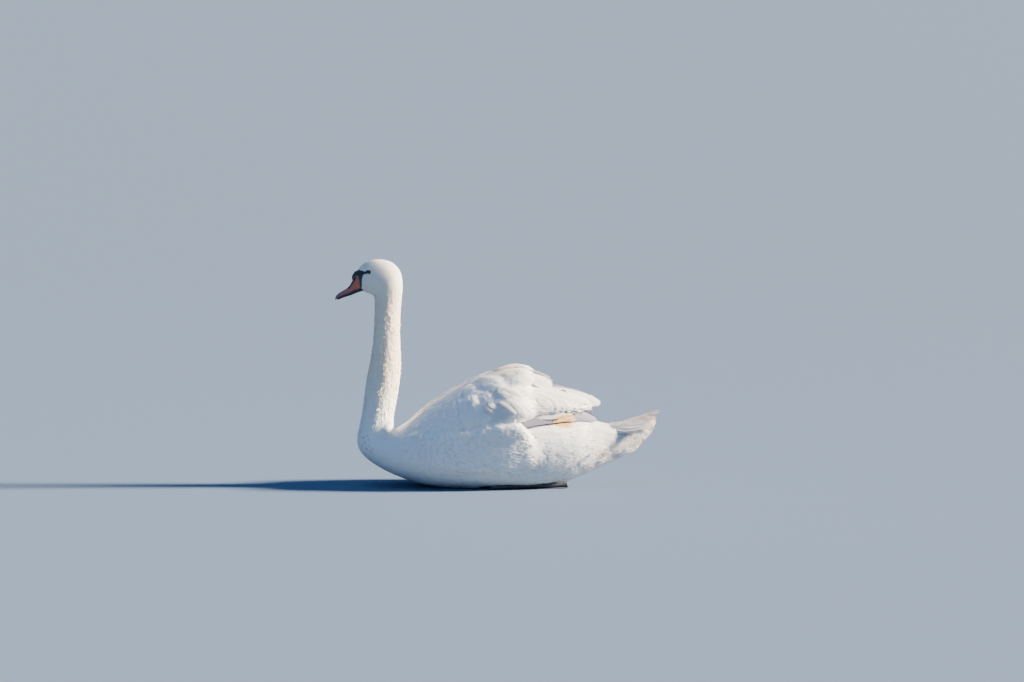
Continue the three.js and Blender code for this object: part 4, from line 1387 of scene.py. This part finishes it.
def eye_material():
    """A dark brown iris, a black pupil and the black rim round them, under a clear coat."""
    look = Look("eye")
    iris, pupil, _ = look.parts_of("iris")
    streak = look.ramp(look.noise(1100.0, 4.0), 0.3, 0.7)
    brown = look.mix(streak, (0.020, 0.010, 0.006), (0.042, 0.020, 0.010))
    colour = look.mix(iris, (0.012, 0.010, 0.010), brown)
    colour = look.mix(pupil, colour, (0.002, 0.002, 0.002))
    look.surface(Base_Color=colour, Roughness=0.06, Specular_IOR_Level=0.3)
    look.surface(Coat_Weight=0.4, Coat_Roughness=0.03)
    return look.material


glossy = eye_material()
for side, word in SIDES:
    at, u, _ = globe(48, 56, 0.02)
    at = at[..., [0, 2, 1]] * [1, side, side] * (1 + 0.05 * bell(u, 0.55))[..., None]
    eye = tube_object(f"eyeball_{word}", at * EYE_R + EYE[side])
    p = points_of(eye.data) - EYE[side]
    settle(eye)
    r, front = np.hypot(p[:, 0], p[:, 2]), p[:, 1] * side > 0
    iris, pupil = soft(IRIS_R - r, 0.5) * front, soft(PUPIL_R - r, 0.4) * front
    paint(eye, "iris", np.stack([iris, pupil, 0 * iris], 1))
    finished(eye, glossy, "eye", f"eye_{word}")


# ---------------------------------------------------------------- legs and feet
UNDER = 0.3  # legs and toes stay this far above the floor
TOE_JOINTS = (0.3, 0.58, 0.8)  # where the joints thicken a toe
TOE_SCALES, SHANK_SCALES, WEB_FOLDS = 26, 17, 7
CLAW_LONG, CLAW_R = 9, 2.5


def rope(path, radius, sides):
    """Rings round a path. radius is [across, up] at each point."""
    way = unit(np.gradient(path, axis=0))
    across = unit(np.cross([0, 0, 1.0], way))
    up = np.cross(way, across)
    a = turns(sides)[None, :, None]
    out = across[:, None] * np.cos(a) * radius[:, None, :1]
    rings = path[:, None] + out + up[:, None] * np.sin(a) * radius[:, None, 1:]
    rings[..., 2] = np.maximum(rings[..., 2], UNDER)
    return rings


def round_end(v, least):
    """Shrinks a radius as v goes from 0 to 1 at the end of a limb."""
    return np.sqrt(np.clip(1 - np.maximum(0, v) ** 2, least, 1))


def toe_path(end_x, end_y, r, t):
    x = TOE_ROOT[0] + (end_x - TOE_ROOT[0]) * t
    y = TOE_ROOT[1] + (end_y - TOE_ROOT[1]) * (t + 0.10 * np.sin(np.pi * t))
    z = 6.4 + (r - 4.6 - 0.6) * t + 1.5 * np.sin(np.pi * t)
    return np.stack([x, y, z], 1)


def toe_radius(r, t):
    joints = sum(bell(t - at, 0.045) for at in TOE_JOINTS)
    thick = r * (1.12 - 0.32 * t) * (1 + 0.14 * joints) * round_end((t - 0.9) / 0.1, 0.12)
    return np.stack([thick, thick * 0.92], 1)


def toe_and_claw(toe, t):
    path = toe_path(*toe, t)
    if toe == HIND_TOE:
        path = HIND_ROOT + (np.array([*toe[:2], 4.2]) - HIND_ROOT) * t[:, None]
    ridge = 1 + 0.03 * np.abs(np.sin(t * np.pi * TOE_SCALES))[:, None]
    heading = unit(path[-1] - path[-8])
    f = np.linspace(0, 1, 14)
    nail = path[-2] + heading * CLAW_LONG * f[:, None] + np.array([0, 0, 1]) * (1.2 - 3.4 * f**1.6)[:, None]
    r = CLAW_R * np.sqrt(np.clip(1 - f**1.4, 0.02, 1))
    return rope(path, toe_radius(toe[2], t) * ridge, 18), rope(nail, np.stack([r * 0.85, r], 1), 12)


def web(first, second):
    """A closed sheet between two toes, with folds running out to its edge."""
    u, v = np.meshgrid(np.linspace(0.04, 0.97, 40), np.linspace(0, 1, 26), indexing="ij")
    one, two = (toe_path(*toe, u.ravel()).reshape(*u.shape, 3) for toe in (first, second))
    sheet = one * (1 - v[..., None]) + two * v[..., None]
    sheet[..., 0] += 16 * u**2 * np.sin(np.pi * v)
    fold = 0.45 * np.sin(v * np.pi * WEB_FOLDS + 2 * u) * u * np.sin(np.pi * v)
    top, under = sheet.copy(), sheet.copy()
    top[..., 2] = WEB_TOP + fold
    under[..., 2] = WEB_UNDER + fold
    return np.concatenate([top, under[:, ::-1]], 1)


def leg_material():
    """Near black skin with small scales."""
    look = Look("leg")
    patchy = look.ramp(look.noise(70.0, 4.0), 0.3, 0.7)
    colour = look.mix(patchy, (0.022, 0.021, 0.022), (0.055, 0.050, 0.048))
    look.surface(Base_Color=colour, Roughness=look.ramp(patchy, 0.0, 1.0, 0.42, 0.62))
    cells = look.node("TexVoronoi", Scale=420, Vector=look.place())
    cells.feature = "DISTANCE_TO_EDGE"
    look.bump(look.ramp(cells.outputs["Distance"], 0.0, 0.12), 0.5, 0.0004)
    return look.material


scaly = leg_material()
t = np.linspace(0, 1, 90)
scute = 0.035 * np.abs(np.sin(t * np.pi * SHANK_SCALES))
girth = 0.86 + 0.22 * bell(t, 0.10) + 0.12 * bell(t - 1, 0.10) + scute
girth = SHANK_R * girth * round_end(1 - t / 0.04, 0.1)
shank_rings = rope(ANKLE + (TOE_ROOT - ANKLE) * t[:, None], np.stack([girth, girth * 0.95], 1), 28)
foot_parts = [rings for toe in TOE_ENDS + [HIND_TOE] for rings in toe_and_claw(toe, t)]
foot_parts += [web(*TOE_ENDS[:2]), web(*TOE_ENDS[1:])]
for side, word in SIDES:
    flip = np.array([1, side, 1])
    shank = tube_object(f"shank_{word}", shank_rings * flip)
    settle(shank)
    verts, faces = np.empty((0, 3)), np.empty((0, 4), int)
    for rings in foot_parts:
        faces = np.vstack([faces, tube_faces(*rings.shape[:2], len(verts))])
        verts = np.vstack([verts, tube_points(rings * flip)])
    foot = new_object(f"foot_{word}_skin", verts, faces)
    outward(foot)
    settle(foot)
    finished(shank, scaly, "leg", f"leg_{word}")
    finished(foot, scaly, "leg", f"foot_{word}")


# ---------------------------------------------------------------- floor, light and camera
FLOOR_CORNERS = np.array([(-200, -200, 0), (200, -200, 0), (200, 200, 0), (-200, 200, 0)], float)
floor = new_object("floor", FLOOR_CORNERS, np.array([[0, 1, 2, 3]]))
floor_look = Look("floor")
floor_look.surface(Base_Color=(0.084, 0.122, 0.185), Roughness=0.9, Specular_IOR_Level=0.1)
floor.data.materials.append(floor_look.material)


def light(name, kind, energy, colour, **values):
    data = bpy.data.lights.new(name, kind)
    data.energy, data.color = energy, colour
    for key, value in values.items():
        setattr(data, key, value)
    return placed(name, data)


AIM = (0, 0, 0.28)
KEY_FROM = (0.86, 0.01, 0.41)  # low and warm, from behind the tail
key = light("key", "SUN", 36.0, (1.0, 0.86, 0.68), angle=0.14)
key.rotation_euler = Vector(KEY_FROM).to_track_quat("Z", "Y").to_euler()
for name, place, size, energy, colour in (
    ("fill", (-3.0, -5.5, 3.2), 3.5, 48, (0.20, 0.50, 1.0)),
    ("top", (-0.8, -0.4, 4.5), 3.0, 42, (0.42, 0.68, 1.0)),
):
    lamp = light(name, "AREA", energy, colour, shape="DISK", size=size)
    lamp.location = place
    lamp.rotation_euler = (Vector(AIM) - Vector(place)).to_track_quat("-Z", "Y").to_euler()
world = bpy.data.worlds.new("studio")
world.use_nodes = True
sky = world.node_tree.nodes["Background"].inputs
sky["Color"].default_value = (0.20, 0.46, 1.0, 1)
sky["Strength"].default_value = 0.55
bpy.context.scene.world = world

CAMERA_AT = (0.0415, -12.28279, 1.49245)
CAMERA_DOWN = 5.08765  # degrees
LENS, SENSOR = 158.0, 36.0
camera_data = bpy.data.cameras.new("camera")
camera_data.lens, camera_data.sensor_width = LENS, SENSOR
camera = placed("camera", camera_data)
camera.location = CAMERA_AT
camera.rotation_euler = (math.radians(90 - CAMERA_DOWN), 0, 0)
bpy.context.scene.camera = camera
